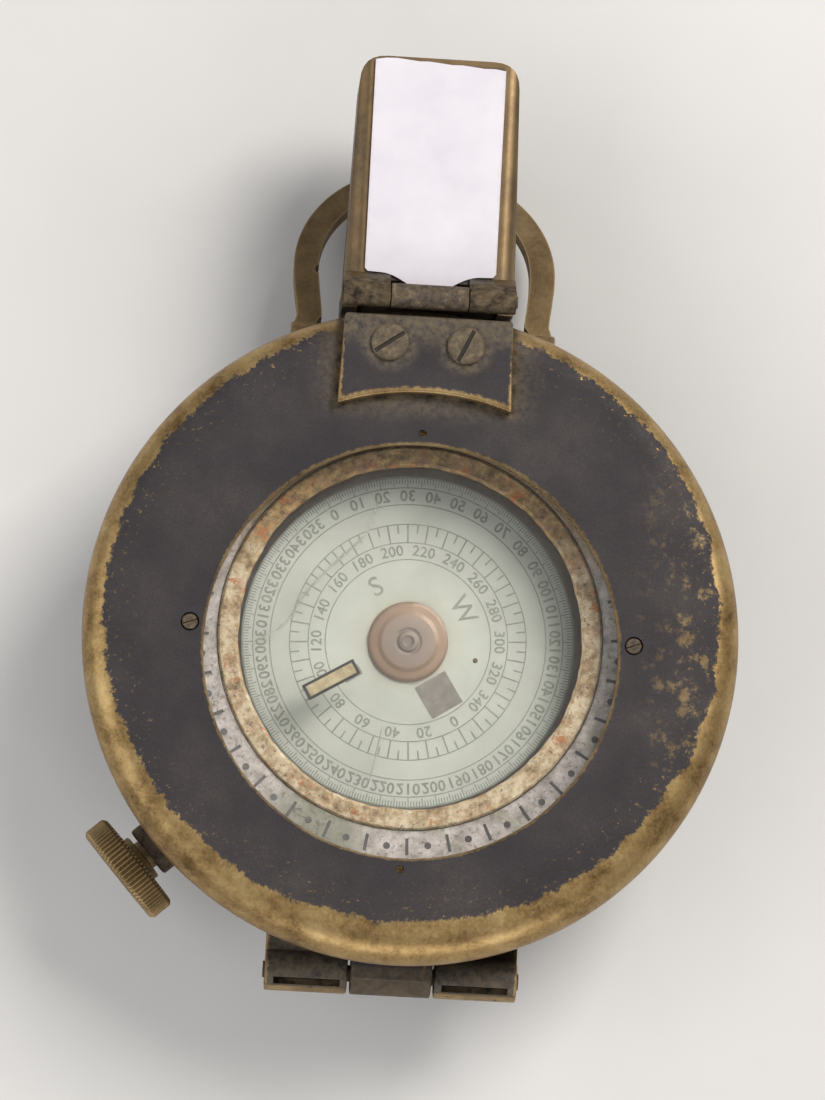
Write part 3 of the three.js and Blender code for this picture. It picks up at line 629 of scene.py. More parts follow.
def prism_bare(s):
    """Bare brass on the long side bands and the free end of the housing."""
    side = s.ragged(s.side(), 1.1, 5, 0.7, 1.6)
    flank = s.step(side, 6.7, 7.2)
    below = s.times(s.step(s.z, 19.2, 18.4), s.patches(1.7, 6, 0.7, 0.36, 0.5), 0.85)
    hinge = s.step(s.y, 34.4, 34.0)
    return s.times(s.highest(s.times(flank, s.invert(below)), s.step(s.y, 55.2, 55.9)), s.invert(hinge))


def prism_dust(s):
    return s.times(s.step(s.y, 37.5, 34.6), 0.55)


def prism_grime(s):
    """Black dirt and painted shade at the hinge end of the housing, and a darker run down the left band."""
    # painted shade with dirt: the housing's end in the hinge trough
    hinge = s.step(s.ragged(s.y, 0.9, 5, 0.7, 0.8), 35.0, 34.3)
    band = s.times(s.patches(4.5, 4, 0.6, 0.5, 0.62), s.step(s.x, -6.6, -7.0), s.step(s.x, -8.2, -7.8), 0.5)
    return s.highest(hinge, band)


def case_bare(s):
    rubbed = s.edges(0.7, 1.0)
    patch = s.patches(2.2, 6, 0.72, 0.6, 0.66)
    rough_edge = s.step(s.ragged(rubbed, 0.8, 5, 0.7, 0.9), 0.8, 1.0)
    lip = s.step(s.y, -33.7, -33.95)
    ends = s.step(s.ragged(s.side(), 0.5, 4, 0.7, 0.5), 12.05, 12.2)
    hinge = s.times(s.highest(lip, ends), s.step(s.y, -28, -29), s.patches(0.7, 4, 0.6, 0.3, 0.42))
    body = s.highest(rough_edge, s.times(patch, 0.8))
    return s.highest(s.times(body, s.step(s.y, -30.5, -29.5)), hinge)


def case_dust(s):
    return s.highest(s.times(s.step(s.y, -28.6, -29.6), 0.9), s.times(s.step(s.z, 13.2, 13.8), 0.3))


def case_grime(s):
    """Painted shade over dark dirt in the hinge slots, and dark dirt round the clamp boss."""
    # painted shade: the hinge slots are painted black
    slots = s.times(s.step(s.y, -33.9, -33.6), s.step(s.y, -32.7, -33.0), s.step(s.z, 14.75, 14.55))
    boss = s.times(s.step(s.radius(-20.8, -18.7), 9.0, 6.0), s.step(s.radius(), 29.2, 29.6))
    return s.highest(slots, s.times(boss, 0.8))


def guide_bare(s):
    return s.step(s.ragged(s.edges(0.5, 1.0), 0.8, 5, 0.7, 0.9), 0.8, 1.0)


def guide_dust(s):
    return s.patches(1.5, 4, 0.7, 0.4, 0.6)


def grimy_metal(name, dark, middle, light, slot_top=None):
    """Metal under old dirt of three tones, with a little brass rubbed clear on the edges. Its darkest
    tones also serve as painted shade where a piece sits in a hinge trough or a hole.

    Below slot_top, within the heads of the tongue screws, the slots are painted black: painted shade."""
    s = Shade(name)
    rubbed = s.times(s.edges(0.15), s.patches(0.9, 5, 0.7, 0.45, 0.58))
    base = s.ramp(s.noise(0.8, 6, 0.75), (0.34, dark), (0.52, middle), (0.68, light))
    if slot_top:
        # painted shade: black inside the tongue screw slots
        screw_slot_shade = s.times(s.step(s.z, slot_top, slot_top - 0.06), s.step(screw_distance(s), 1.74, 1.66))
        rubbed = s.times(rubbed, s.invert(screw_slot_shade))
        base = s.mix(s.times(screw_slot_shade, 0.95), base, GRIME_AND_SHADE_DARK)
    s.set("Base Color", s.mix(s.times(rubbed, 0.8), base, BRASS_MID))
    s.set("Metallic", s.times(rubbed, 0.8))
    s.set("Roughness", s.ragged(0.55, 0.4, 4, 0.7, 0.3))
    s.bump(s.noise(0.3, 6, 0.75), 0.06, 0.8)
    return s.material


STAIN = (-8.5, -19.5)


def silver_material():
    """Tarnished silvering: dark spots, brown in its inner corner and over the half by the prism."""
    s = Shade("tarnished_silver")
    base = s.ramp(s.noise(1.6, 6, 0.7), (0.32, (0.13, 0.115, 0.1)),
                  (0.5, (0.23, 0.205, 0.19)), (0.7, (0.33, 0.3, 0.28)))
    spots = s.patches(0.5, 6, 0.8, 0.53, 0.62)
    inner = s.step(s.ragged(s.radius(), 0.8, 5, 0.7, 1.2), 19.6, 19.0)
    green = s.times(s.patches(2.6, 4, 0.6, 0.6, 0.68), 0.5)
    base = s.mix(green, base, (0.17, 0.17, 0.1))
    north = s.step(s.ragged(s.y, 2.2, 5, 0.7, 9), 8.5, 17.5)
    base = s.mix(s.times(north, 0.9), base, (0.16, 0.1, 0.04))
    patches = s.times(s.patches(1.7, 5, 0.7, 0.57, 0.66), s.patches(0.35, 4, 0.7, 0.42, 0.6))
    stain = s.step(s.ragged(s.radius(*STAIN), 1.0, 6, 0.75, 7), 10.0, 6.5)
    base = s.mix(s.times(stain, 0.75), base, (0.085, 0.088, 0.055))
    dark = s.highest(s.times(spots, 0.75), s.times(patches, 0.8), s.times(inner, 0.8))
    colour = s.mix(dark, base, (0.08, 0.062, 0.04))
    s.set("Base Color", colour)
    s.set("Metallic", s.times(s.invert(dark), 0.2))
    s.set("Roughness", s.plus(s.ragged(0.45, 0.4, 4, 0.7, 0.2), s.times(dark, 0.3)))
    s.bump(s.plus(s.noise(0.2, 4, 0.7), s.times(dark, -0.7)), 0.04, 0.6)
    return s.material


def retainer_material():
    """The stained ring round the bezel glass: cream cement, orange rust and brown corrosion."""
    s = Shade("stained_retainer")
    base = s.ramp(s.noise(1.4, 6, 0.75), (0.34, (0.09, 0.05, 0.02)),
                  (0.46, (0.25, 0.18, 0.095)), (0.6, (0.42, 0.35, 0.24)))
    north = s.step(s.ragged(s.y, 2.6, 5, 0.7, 9), 9.5, 16.5)
    brown = s.ramp(s.noise(1.1, 6, 0.75), (0.36, (0.06, 0.035, 0.012)), (0.5, (0.2, 0.125, 0.045)),
                   (0.64, (0.36, 0.24, 0.09)))
    base = s.mix(s.times(north, 0.92), base, brown)
    pink = s.times(s.patches(1.8, 5, 0.7, 0.53, 0.63), 0.4)
    base = s.mix(pink, base, (0.26, 0.13, 0.08))
    rust = s.patches(1.7, 6, 0.75, 0.56, 0.63)
    colour = s.mix(s.times(rust, 0.85), base, (0.28, 0.085, 0.015))
    black = s.patches(0.9, 6, 0.8, 0.56, 0.64)
    colour = s.mix(s.times(black, 0.8), colour, (0.035, 0.025, 0.015))
    s.set("Base Color", colour)
    s.set("Metallic", s.times(north, 0.3))
    s.set("Roughness", s.ragged(0.45, 0.4, 4, 0.7, 0.35))
    s.bump(s.noise(0.28, 6, 0.75), 0.12, 0.9)
    return s.material


def card_material():
    """Pale greenish card with a faint pearly unevenness and a few foxed marks."""
    s = Shade("card_face")
    base = s.ramp(s.noise(9, 3, 0.6), (0.35, (0.275, 0.277, 0.25)), (0.65, (0.335, 0.337, 0.305)))
    grain = s.patches(0.7, 5, 0.7, 0.35, 0.75)
    colour = s.mix(s.times(grain, 0.15), base, (0.44, 0.44, 0.385))
    marks = s.patches(1.3, 5, 0.8, 0.68, 0.75)
    colour = s.mix(s.times(marks, 0.4), colour, (0.3, 0.24, 0.14))
    centre = s.step(s.ragged(s.radius(), 1.2, 4, 0.7, 1.6), 6.4, 4.4)
    colour = s.mix(s.times(centre, 0.3), colour, (0.3, 0.25, 0.18))
    s.set("Base Color", colour)
    s.set("Roughness", s.plus(0.38, s.times(grain, 0.15)))
    s.bump(s.noise(0.5, 4, 0.6), 0.01, 0.3)
    return s.material


def ink_material(name, colour):
    s = Shade(name)
    faded = s.ramp(s.noise(0.9, 4, 0.7), (0.35, colour), (0.75, tuple(min(1, c * 1.7) for c in colour)))
    s.set("Base Color", faded)
    s.set("Roughness", s.ragged(0.45, 0.3, 3, 0.6, 0.2))
    return s.material


def cap_material():
    """The jewel cap: coppery brown, darker in the middle, lightly brushed."""
    s = Shade("jewel_cap_brass")
    r = s.ragged(s.radius(), 0.9, 4, 0.6, 0.6)
    base = s.ramp(s.math("DIVIDE", r, 4.6), (0.0, (0.11, 0.085, 0.072)), (0.3, (0.165, 0.13, 0.112)),
                  (0.55, (0.19, 0.142, 0.118)), (0.72, (0.2, 0.13, 0.09)), (1.0, (0.17, 0.11, 0.078)))
    s.set("Base Color", base)
    s.set("Metallic", 0.3)
    s.set("Roughness", s.ragged(0.36, 0.4, 3, 0.6, 0.2))
    s.bump(s.noise(0.2, 3, 0.6), 0.01, 0.4)
    return s.material


def glass_material(name, tint, rough=0.02, haze=0.0):
    """Clear glass that lets lamps through. haze adds a dull film."""
    s = Shade(name)
    s.set("Base Color", (*tint, 1))
    s.set("Transmission Weight", 1.0 - haze)
    s.set("IOR", 1.45)
    s.set("Roughness", rough)
    s.bump(s.noise(4.0, 2, 0.5), 0.004, 0.3)
    light_path = s.nodes.new("ShaderNodeLightPath")
    clear = s.nodes.new("ShaderNodeBsdfTransparent")
    clear.inputs[0].default_value = (*tint, 1)
    s.cover(light_path.outputs["Is Shadow Ray"], s.shader, clear)
    return s.material


def paper_material():
    s = Shade("label_paper")
    fibre = s.noise(0.12, 4, 0.8, stretch=(1.0, 0.3, 1.0))
    base = s.ramp(s.noise(6, 4, 0.6), (0.3, (0.62, 0.59, 0.64)), (0.7, (0.71, 0.68, 0.73)))
    colour = s.mix(s.times(s.step(fibre, 0.4, 0.8), 0.12), base, (0.6, 0.57, 0.6))
    side = s.ragged(s.side(), 0.8, 4, 0.7, 0.9)
    grubby = s.step(side, 6.5, 7.0)
    colour = s.mix(s.times(grubby, 0.35), colour, (0.42, 0.36, 0.3))
    smudge = s.patches(3.0, 5, 0.7, 0.58, 0.75)
    colour = s.mix(s.times(smudge, 0.15), colour, (0.5, 0.46, 0.44))
    s.set("Base Color", colour)
    s.set("Roughness", s.plus(0.7, s.times(fibre, 0.15)))
    s.set("Sheen Weight", 0.15)
    s.bump(s.ragged(fibre, 2.5, 3, 0.5, 0.5), 0.02, 0.5)
    return s.material


def enamel_material():
    """The pale, stained lining of the liquid capsule."""
    s = Shade("stained_enamel")
    base = s.ramp(s.noise(3.0, 5, 0.7), (0.35, (0.58, 0.5, 0.44)), (0.65, (0.76, 0.68, 0.6)))
    spots = s.times(s.patches(0.6, 5, 0.75, 0.58, 0.7), 0.5)
    s.set("Base Color", s.mix(spots, base, (0.22, 0.16, 0.1)))
    s.set("Roughness", s.ragged(0.4, 0.5, 4, 0.7, 0.2))
    s.bump(s.noise(0.4, 4, 0.7), 0.02, 0.4)
    return s.material


def rubber_material():
    s = Shade("old_rubber")
    bloom = s.patches(1.8, 5, 0.7, 0.45, 0.75)
    s.set("Base Color", s.mix(s.times(bloom, 0.5), (0.02, 0.02, 0.02), (0.11, 0.105, 0.1)))
    s.set("Roughness", s.plus(0.65, s.times(bloom, 0.2)))
    s.bump(s.noise(0.3, 5, 0.75), 0.03, 0.6)
    return s.material


def steel_material():
    s = Shade("dull_steel")
    spots = s.patches(0.7, 5, 0.75, 0.55, 0.7)
    s.set("Base Color", s.mix(s.times(spots, 0.5), (0.42, 0.41, 0.4), (0.2, 0.12, 0.07)))
    s.set("Metallic", s.invert(s.times(spots, 0.8)))
    s.set("Roughness", s.ragged(0.3, 0.3, 3, 0.6, 0.25))
    s.bump(s.noise(0.2, 3, 0.6), 0.01, 0.4)
    return s.material


def luminous_material():
    s = Shade("aged_luminous_paint")
    base = s.ramp(s.noise(0.7, 5, 0.7), (0.35, (0.2, 0.155, 0.085)), (0.65, (0.31, 0.26, 0.16)))
    s.set("Base Color", base)
    s.set("Roughness", s.ragged(0.6, 0.3, 3, 0.6, 0.2))
    s.bump(s.noise(0.2, 4, 0.7), 0.03, 0.6)
    return s.material


def flaw_material():
    """A soft grey line in the glass, mostly see-through."""
    s = Shade("crack_grey")
    s.set("Base Color", s.ramp(s.noise(0.8, 3, 0.6), (0.3, (0.17, 0.17, 0.14)), (0.7, (0.25, 0.25, 0.21))))
    s.set("Roughness", s.ragged(0.5, 0.3, 3, 0.6, 0.2))
    s.cover(s.ragged(0.12, 1.5, 4, 0.7, 0.6), s.nodes.new("ShaderNodeBsdfTransparent"), s.shader)
    return s.material


LID_PAINT = worn_paint("lid_paint", lid_bare, lid_dust, lid_grime, age=0.3, rough=0.6, low_shade=0.75)
TONGUE_PAINT = worn_paint("tongue_paint", tongue_bare, tongue_dust, tongue_grime, age=0.1, rough=0.55,
                          patina=0.3)
PRISM_PAINT = worn_paint("prism_paint", prism_bare, prism_dust, prism_grime, age=0.8, patina=0.75)
CASE_PAINT = worn_paint("case_paint", case_bare, case_dust, case_grime, age=0.4)
GUIDE_PAINT = worn_paint("guide_paint", guide_bare, guide_dust, age=0.6)
BROWN_BRASS = plain_brass("brown_brass", age=0.5, dirt_amount=0.25, patina=0.55)
# dark dirty metal that is also painted shade: the prism hinge's middle knuckle in its trough, the lid screws in
# their holes
HINGE_GRIME_AND_SHADE = grimy_metal("hinge_grime_and_shade", (0.02, 0.015, 0.01), (0.085, 0.06, 0.037), (0.2, 0.14, 0.075))
WORN_BRASS = plain_brass("worn_brass", age=0.55, dirt_amount=0.5)
SCREW_BRASS = plain_brass("screw_brass", age=0.35, dirt_amount=0.45, edge_width=0.15)
INNER_BRASS = plain_brass("inner_brass", age=0.1, dirt_amount=0.15)
SILVER = silver_material()
RETAINER = retainer_material()
CARD = card_material()
INK = ink_material("card_ink", (0.115, 0.115, 0.1))
BLACK_INK = ink_material("black_ink", (0.018, 0.016, 0.015))
NORTH_INK = ink_material("north_mark_paint", (0.105, 0.09, 0.08))
SPECK = ink_material("speck_brown", (0.05, 0.035, 0.02))
CAP = cap_material()
CLEAR = glass_material("clear_glass", (0.976, 0.98, 0.974))
LENS_GLASS = glass_material("lens_glass", (0.95, 0.97, 0.96))
PAPER = paper_material()
RUBBER = rubber_material()
STEEL = steel_material()
LUMINOUS = luminous_material()
# tongue screws: dirt, with painted shade in their slots
SCREW_DIRT_AND_SLOT_SHADE = grimy_metal("dirty_screw_brass_slot_shade", (0.045, 0.033, 0.019), (0.1, 0.073, 0.041),
                          (0.19, 0.14, 0.078), slot_top=24.74)
FLAW = flaw_material()
ENAMEL = enamel_material()


# ---- lid: shell, window, tongue plate and screws ----

def lid_shell():
    side = [(28.6, 22, 0.3), (29.3, 21.3, 0.2), (29.3, 14.5, 0.15), (30.4, 14.5, 0.25), (31.2, 17.2, 1.0)]
    shoulder = [(*point, 0) for point in arc(28.7, 20.2, 2.8, 0, 90, 14)]
    top = [(radius, 23) for radius in (28.3, 27, 25.5, 24, 22.5, 21.5)]
    outline = fillet([(0, 22)] + side + shoulder + top + [(0, 23)], 0)
    shell = lathe("lid_shell_worn", outline, 240)
    opening = [(0, 20), (WINDOW_RADIUS, 20), (WINDOW_RADIUS, 22.78), (WINDOW_RADIUS + 0.22, 23.0),
               (WINDOW_RADIUS + 0.5, 23.4), (0, 23.4)]
    window = lathe("window_cut", opening, 200)
    cut(shell, moved(window, shift(0, WINDOW_Y, 0)))
    for side in (-1, 1):
        y = WINDOW_Y + side * PINHOLE_REACH
        drill(shell, 0.38, (0, y, 20), (0, y, 24), 20)
        drill(shell, 0.9, (side * LID_SCREW_X, 0, 22.5), (side * LID_SCREW_X, 0, 24), 28)
        x, y = side * TONGUE_SCREW[0], TONGUE_SCREW[1]
        drill(shell, SHANK_HOLE, (x, y, 20), (x, y, 24))
    drill(shell, 2.4, (-12.45, *LID_HINGE), (12.45, *LID_HINGE), 48)
    knuckle = rod("knuckle", 2.0, (-3.9, *LID_HINGE), (3.9, *LID_HINGE), 0.25, 48)
    web = block("web", (-3.9, LID_HINGE[0] - 0.6, 14.2), (3.9, -29.3, 16.5), 0.3)
    add(shell, knuckle)
    add(shell, web)
    drill(shell, LID_PIN_HOLE, (-20, *LID_HINGE), (20, *LID_HINGE))
    return shell


piece(lid_shell(), "lid", LID_PAINT, ["lid_shell"])


def tongue_plate():
    corner = math.degrees(math.asin(TONGUE_HALF / TONGUE_ARC))
    lower = arc(0, WINDOW_Y, TONGUE_ARC, 90 - corner, 90 + corner, 28)
    outline = [(TONGUE_HALF - 0.35, TONGUE_END)] + lower + [(-TONGUE_HALF + 0.35, TONGUE_END)]
    tongue = plate("tongue_plate_worn", outline, TONGUE_FOOT, TONGUE_TOP, 0.28, 3)
    for side in (-1, 1):
        x, y = side * TONGUE_SCREW[0], TONGUE_SCREW[1]
        drill(tongue, SHANK_HOLE, (x, y, 22), (x, y, 25))
    return tongue


piece(tongue_plate(), "lid", TONGUE_PAINT, ["tongue_plate"])


def slotted_screw(name, place, head, depth, top, slot, slot_width=0.42, crown=0.12, shank=(0.6, 3.0)):
    """A cheese-head screw with a crowned top, its slot turned by slot degrees."""
    rim = top - crown
    outline = fillet([(0, top - depth - shank[1], 0), (shank[0], top - depth - shank[1], 0.1),
                      (shank[0], top - depth, 0), (head * 0.97, top - depth, 0.1), (head, rim - 0.05, 0.12),
                      (head * 0.86, rim + crown * 0.6, 0.1), (0, top)], 0.1)
    screw = lathe(name, outline, 56)
    groove = block("slot", (-head - 0.5, -slot_width / 2, top - min(0.32, depth * 0.6)),
                   (head + 0.5, slot_width / 2, top + 1))
    cut(screw, moved(groove, turned(slot)))
    return moved(screw, shift(*place, 0))


for label, side, slot in (("left", -1, 35), ("right", 1, 65)):
    spot = (side * TONGUE_SCREW[0], TONGUE_SCREW[1])
    screw = slotted_screw(f"tongue_screw_{label}_worn", spot, 1.8, 0.5, 24.9, slot, shank=(0.6, 2.7))
    piece(screw, "lid", SCREW_DIRT_AND_SLOT_SHADE, [f"tongue_screw_{label}"])
# lid screws made dark: dirt and painted shade in their holes
for label, side in (("west", -1), ("east", 1)):
    screw = slotted_screw(f"lid_screw_{label}_worn", (side * LID_SCREW_X, 0), 0.75, 0.4, 22.95, 20,
                          slot_width=0.2, crown=0.04, shank=(0.35, 0.0))
    piece(screw, "lid", HINGE_GRIME_AND_SHADE, [f"lid_screw_{label}"])


# ---- bezel: milled ring, silvered scale, glass and its stained retainer ----

def bezel_ring():
    outline = fillet([(17.3, 16.7, 0.1), (21.6, 16.7, 0.1), (21.6, 9.2, 0.1), (24.1, 9.2, 0.15),
                      (24.1, 10.4, 0.1), (23.3, 10.4, 0.1), (23.3, 12.2, 0.1), (24.1, 12.2, 0.1), (24.1, 14.2, 0.1),
                      (28.8, 14.2, 0.25), (28.8, 19.6, 0.25), (28.2, 20.2, 0.25), (23.2, 20.2, 0.12),
                      (18.6, 18.9, 0.15), (18.6, 17.1, 0.1), (17.3, 17.1, 0.05)], 0.1)
    return lathe("bezel_ring_silvered", outline, 720, ripple=(180, 0.22, 28.3))


piece(bezel_ring(), "bezel", SILVER, ["bezel_ring"])


def cone_height(radius):
    share = (radius - SCALE_INNER) / (SCALE_OUTER - SCALE_INNER)
    return SCALE_INNER_Z + share * (SCALE_OUTER_Z - SCALE_INNER_Z)


def scale_mark(bm, angle, near, far, width, lift=0.05, sink=0.08):
    """A thin filled mark lying on the cone of the bezel."""
    along, across = direction(angle)
    across *= width / 2
    rows = []
    for radius in (near, far):
        z = cone_height(radius)
        for height in (z - sink, z + lift):
            middle = along * radius + Vector((0, 0, height))
            rows.append([bm.verts.new((middle - across) * MM), bm.verts.new((middle + across) * MM)])
    low_near, high_near, low_far, high_far = rows
    for a, b in ((low_near, high_near), (high_near, high_far), (high_far, low_far), (low_far, low_near)):
        bm.faces.new([a[0], a[1], b[1], b[0]])
    for side in (0, 1):
        bm.faces.new([low_near[side], high_near[side], high_far[side], low_far[side]])


def scale_dot(bm, angle, radius, size, lift=0.05, sink=0.08, sides=14):
    """A round mark lying on the cone of the bezel."""
    centre = direction(angle)[0] * radius
    out = centre.normalized()
    slope = (SCALE_OUTER_Z - SCALE_INNER_Z) / (SCALE_OUTER - SCALE_INNER)
    low, high = [], []
    for i in range(sides):
        around = 2 * math.pi * i / sides
        offset = out * math.cos(around) * size + out.cross(Vector((0, 0, 1))) * math.sin(around) * size
        z = cone_height(radius) + slope * math.cos(around) * size
        flat = centre + offset
        low.append(bm.verts.new(Vector((flat.x, flat.y, z - sink)) * MM))
        high.append(bm.verts.new(Vector((flat.x, flat.y, z + lift)) * MM))
    close_solid(bm, low, high)


def bezel_marks():
    bm = bmesh.new()
    count, mark_near, mark_far, mark_width = 32, 19.3, 20.95, 0.3
    dot_place, dot_size = 20.15, 0.34
    for i in range(count):
        angle = 360 * i / count + 2
        turn = angle + random.uniform(-0.15, 0.15)
        scale_mark(bm, turn, mark_near + random.uniform(-0.08, 0.08), mark_far, mark_width)
        scale_dot(bm, angle + 180 / count, dot_place + random.uniform(-0.08, 0.08), dot_size)
    return from_bmesh("bezel_scale_marks", bm)


piece(bezel_marks(), "bezel", BLACK_INK)


def wavy_ring(name, inner, outer, bottom, top, wobble, segments):
    """A hand-packed ring whose inner edge and top wander a little."""
    bm = bmesh.new()
    waves = [(count, random.uniform(0, 6.28)) for count in (3, 7, 13, 19, 29, 41, 53, 67, 83)]
    rings = [[] for _ in range(6)]
    for s in range(segments):
        turn = 2 * math.pi * s / segments
        sway = sum(math.sin(n * turn + p) / (1 + 0.03 * n) for n, p in waves) / 4
        lift = sum(math.sin((n + 3) * turn + 2 * p) / (1 + 0.03 * n) for n, p in waves) / 4
        edge_in = inner + wobble * (sway - 0.4)
        profile = [(edge_in + 0.05, bottom), (outer, bottom), (outer, top - 0.18 + 0.05 * lift),
                   (outer - 0.22, top + 0.04 * lift), (edge_in + 0.3, top - 0.05 + 0.05 * lift),
                   (edge_in, top - 0.35)]
        for ring, (r, z) in zip(rings, profile):
            ring.append(bm.verts.new(polar(r, turn, z)))
    join_rings(bm, rings)
    return from_bmesh(name, bm)


glass_ring = wavy_ring("bezel_glass_ring_stained", 16.6, 18.5, 18.06, 18.78, 0.16, 480)
piece(glass_ring, "bezel", RETAINER, ["bezel_glass_ring"])


def luminous_bar():
    """A black-edged bar with a tan luminous filling, fixed to the bezel glass."""
    half, width = 2.8, 0.8
    frame_bar = block("luminous_bar_frame", (-half, -width, 18.02), (half, width, 18.4), 0.1)
    recess = block("recess", (-half + 0.28, -width + 0.24, 18.28), (half - 0.28, width - 0.24, 19))
    cut(frame_bar, recess)
    filling = block("luminous_bar_filling", (-half + 0.3, -width + 0.26, 18.1),
                    (half - 0.3, width - 0.26, 18.34), 0.05)
    place = turned(211) @ shift(8.6, 0, 0)
    return moved(frame_bar, place), moved(filling, place)


bar_frame, bar_filling = luminous_bar()
piece(bar_frame, "bezel", BLACK_INK, ["luminous_bar"])
piece(bar_filling, "bezel", LUMINOUS)


# ---- compass card: disc, printed scales, north mark, cap and jewel ----

def card_disc():
    outline = fillet([(0.8, 13.0, 0), (CARD_RADIUS, 13.0, 0.06), (CARD_RADIUS, CARD_TOP, 0.06),
                      (0.8, CARD_TOP, 0)], 0.05)
    return lathe("card_disc_printed", outline, 220)


piece(card_disc(), "card", CARD, ["card_disc"])

PRINT_LOW = CARD_TOP - 0.03
PRINT_HIGH = CARD_TOP + 0.02


def flat_ring(bm, radius, width, segments=220):
    rows = []
    for r, z in ((radius - width / 2, PRINT_LOW), (radius + width / 2, PRINT_LOW),
                 (radius + width / 2, PRINT_HIGH), (radius - width / 2, PRINT_HIGH)):
        rows.append([bm.verts.new(polar(r, 2 * math.pi * s / segments, z)) for s in range(segments)])
    join_rings(bm, rows)


def flat_tick(bm, angle, near, far, width):
    along, across = direction(angle)
    across *= width / 2
    corners = [along * near - across, along * far - across, along * far + across, along * near + across]
    low = [bm.verts.new(Vector((c.x, c.y, PRINT_LOW)) * MM) for c in corners]
    high = [bm.verts.new(Vector((c.x, c.y, PRINT_HIGH)) * MM) for c in corners]
    close_solid(bm, low, high)


def printed_text(text, size, radius, angle, weight=0.03, mirrored=False):
    """Thin solid figures at a radius, with their tops outward."""
    curve = bpy.data.curves.new("figure", "FONT")
    curve.body = text
    curve.size = size * MM
    curve.align_x = "CENTER"
    curve.align_y = "CENTER"
    curve.extrude = (PRINT_HIGH - PRINT_LOW) / 2 * MM
    curve.offset = weight * MM
    curve.resolution_u = 3
    curve.space_character = 1.05
    obj = link("figure", curve)
    bpy.context.view_layer.update()
    mesh = bpy.data.meshes.new_from_object(obj.evaluated_get(bpy.context.evaluated_depsgraph_get()))
    bpy.data.objects.remove(obj)
    bpy.data.curves.remove(curve)
    flip = Matrix.Diagonal((-1, 1, 1, 1)) if mirrored else Matrix.Identity(4)
    facing = angle - 90
    turn = math.radians(angle)
    spot = shift(radius * math.cos(turn), radius * math.sin(turn), (PRINT_HIGH + PRINT_LOW) / 2)
    mesh.transform(spot @ turned(facing) @ flip)
    return link("figure", mesh)


def card_print():
    bm = bmesh.new()
    flat_ring(bm, 16.08, 0.14)
    for radius in (15.08, 13.43, 11.5, 9.7, 8.05):
        flat_ring(bm, radius, 0.11)
    for degree in range(360):
        place = CARD_NORTH - degree
        if degree % 10 == 0:
            reach = 15.1
        elif degree % 5 == 0:
            reach = 15.25
        else:
            reach = 15.5
        flat_tick(bm, place, reach, 16.05, 0.1)
        if degree % 5 == 0:
            flat_tick(bm, place, 9.75 if degree % 10 == 0 else 10.6, 11.48, 0.15)
    marks = from_bmesh("card_marks", bm)
    figures = [marks]
    for bearing in range(0, 360, 10):
        place = CARD_NORTH - bearing
        reverse = (bearing + 180) % 360
        figures.append(printed_text(str(reverse), 1.5, 14.24, place, 0.035, mirrored=True))
        if bearing % 20 == 0:
            figures.append(printed_text(str(bearing), 1.45, 8.86, place, 0.025))
    for letter, bearing in (("E", 90), ("S", 180), ("W", 270)):
        figures.append(printed_text(letter, 2.7, 6.15, CARD_NORTH - bearing, 0.015))
    return merged("card_print", figures)


piece(card_print(), "card", INK)


def north_mark():
    mark = block("card_north_mark", (-1.7, -1.75, PRINT_LOW), (1.7, 1.75, CARD_TOP + 0.05), 0.02)
    return moved(mark, turned(CARD_NORTH - 90) @ shift(0, 5.95, 0))


piece(north_mark(), "card", NORTH_INK)


def jewel_cap():
    """A turned cap: a low step at its foot, a shallow dish and a jewel in the middle."""
    outline = fillet([(0, 13.36, 0), (3.9, 13.36, 0.05), (3.9, 13.62, 0.08), (3.6, 13.75, 0.1),
                      (3.0, 13.78, 0.1),
                      (2.6, 13.98, 0.1), (1.35, 14.05, 0.1), (1.2, 13.92, 0.05), (1.0, 13.92, 0.05),
                      (0.95, 14.12, 0.08), (0.55, 14.2, 0.06), (0.45, 14.08, 0.04), (0, 14.06, 0)], 0.05)
    return lathe("card_jewel_cap_turned", outline, 120)


piece(jewel_cap(), "card", CAP, ["card_jewel_cap"])


# ---- prism: housing and label, drawn about the prism hinge ----

PRISM_PLACE = shift(0, *PRISM_HINGE)


def prism_plan(inset=0.0):
    near, far = 8.3 - inset, 7.7 - inset
    start, end = 1.8 + inset, 23.8 - inset
    return fillet([(-near, start, 0.3), (near, start, 0.3), (far, end, 2.6), (-far, end, 2.6)], 0.3, 6)


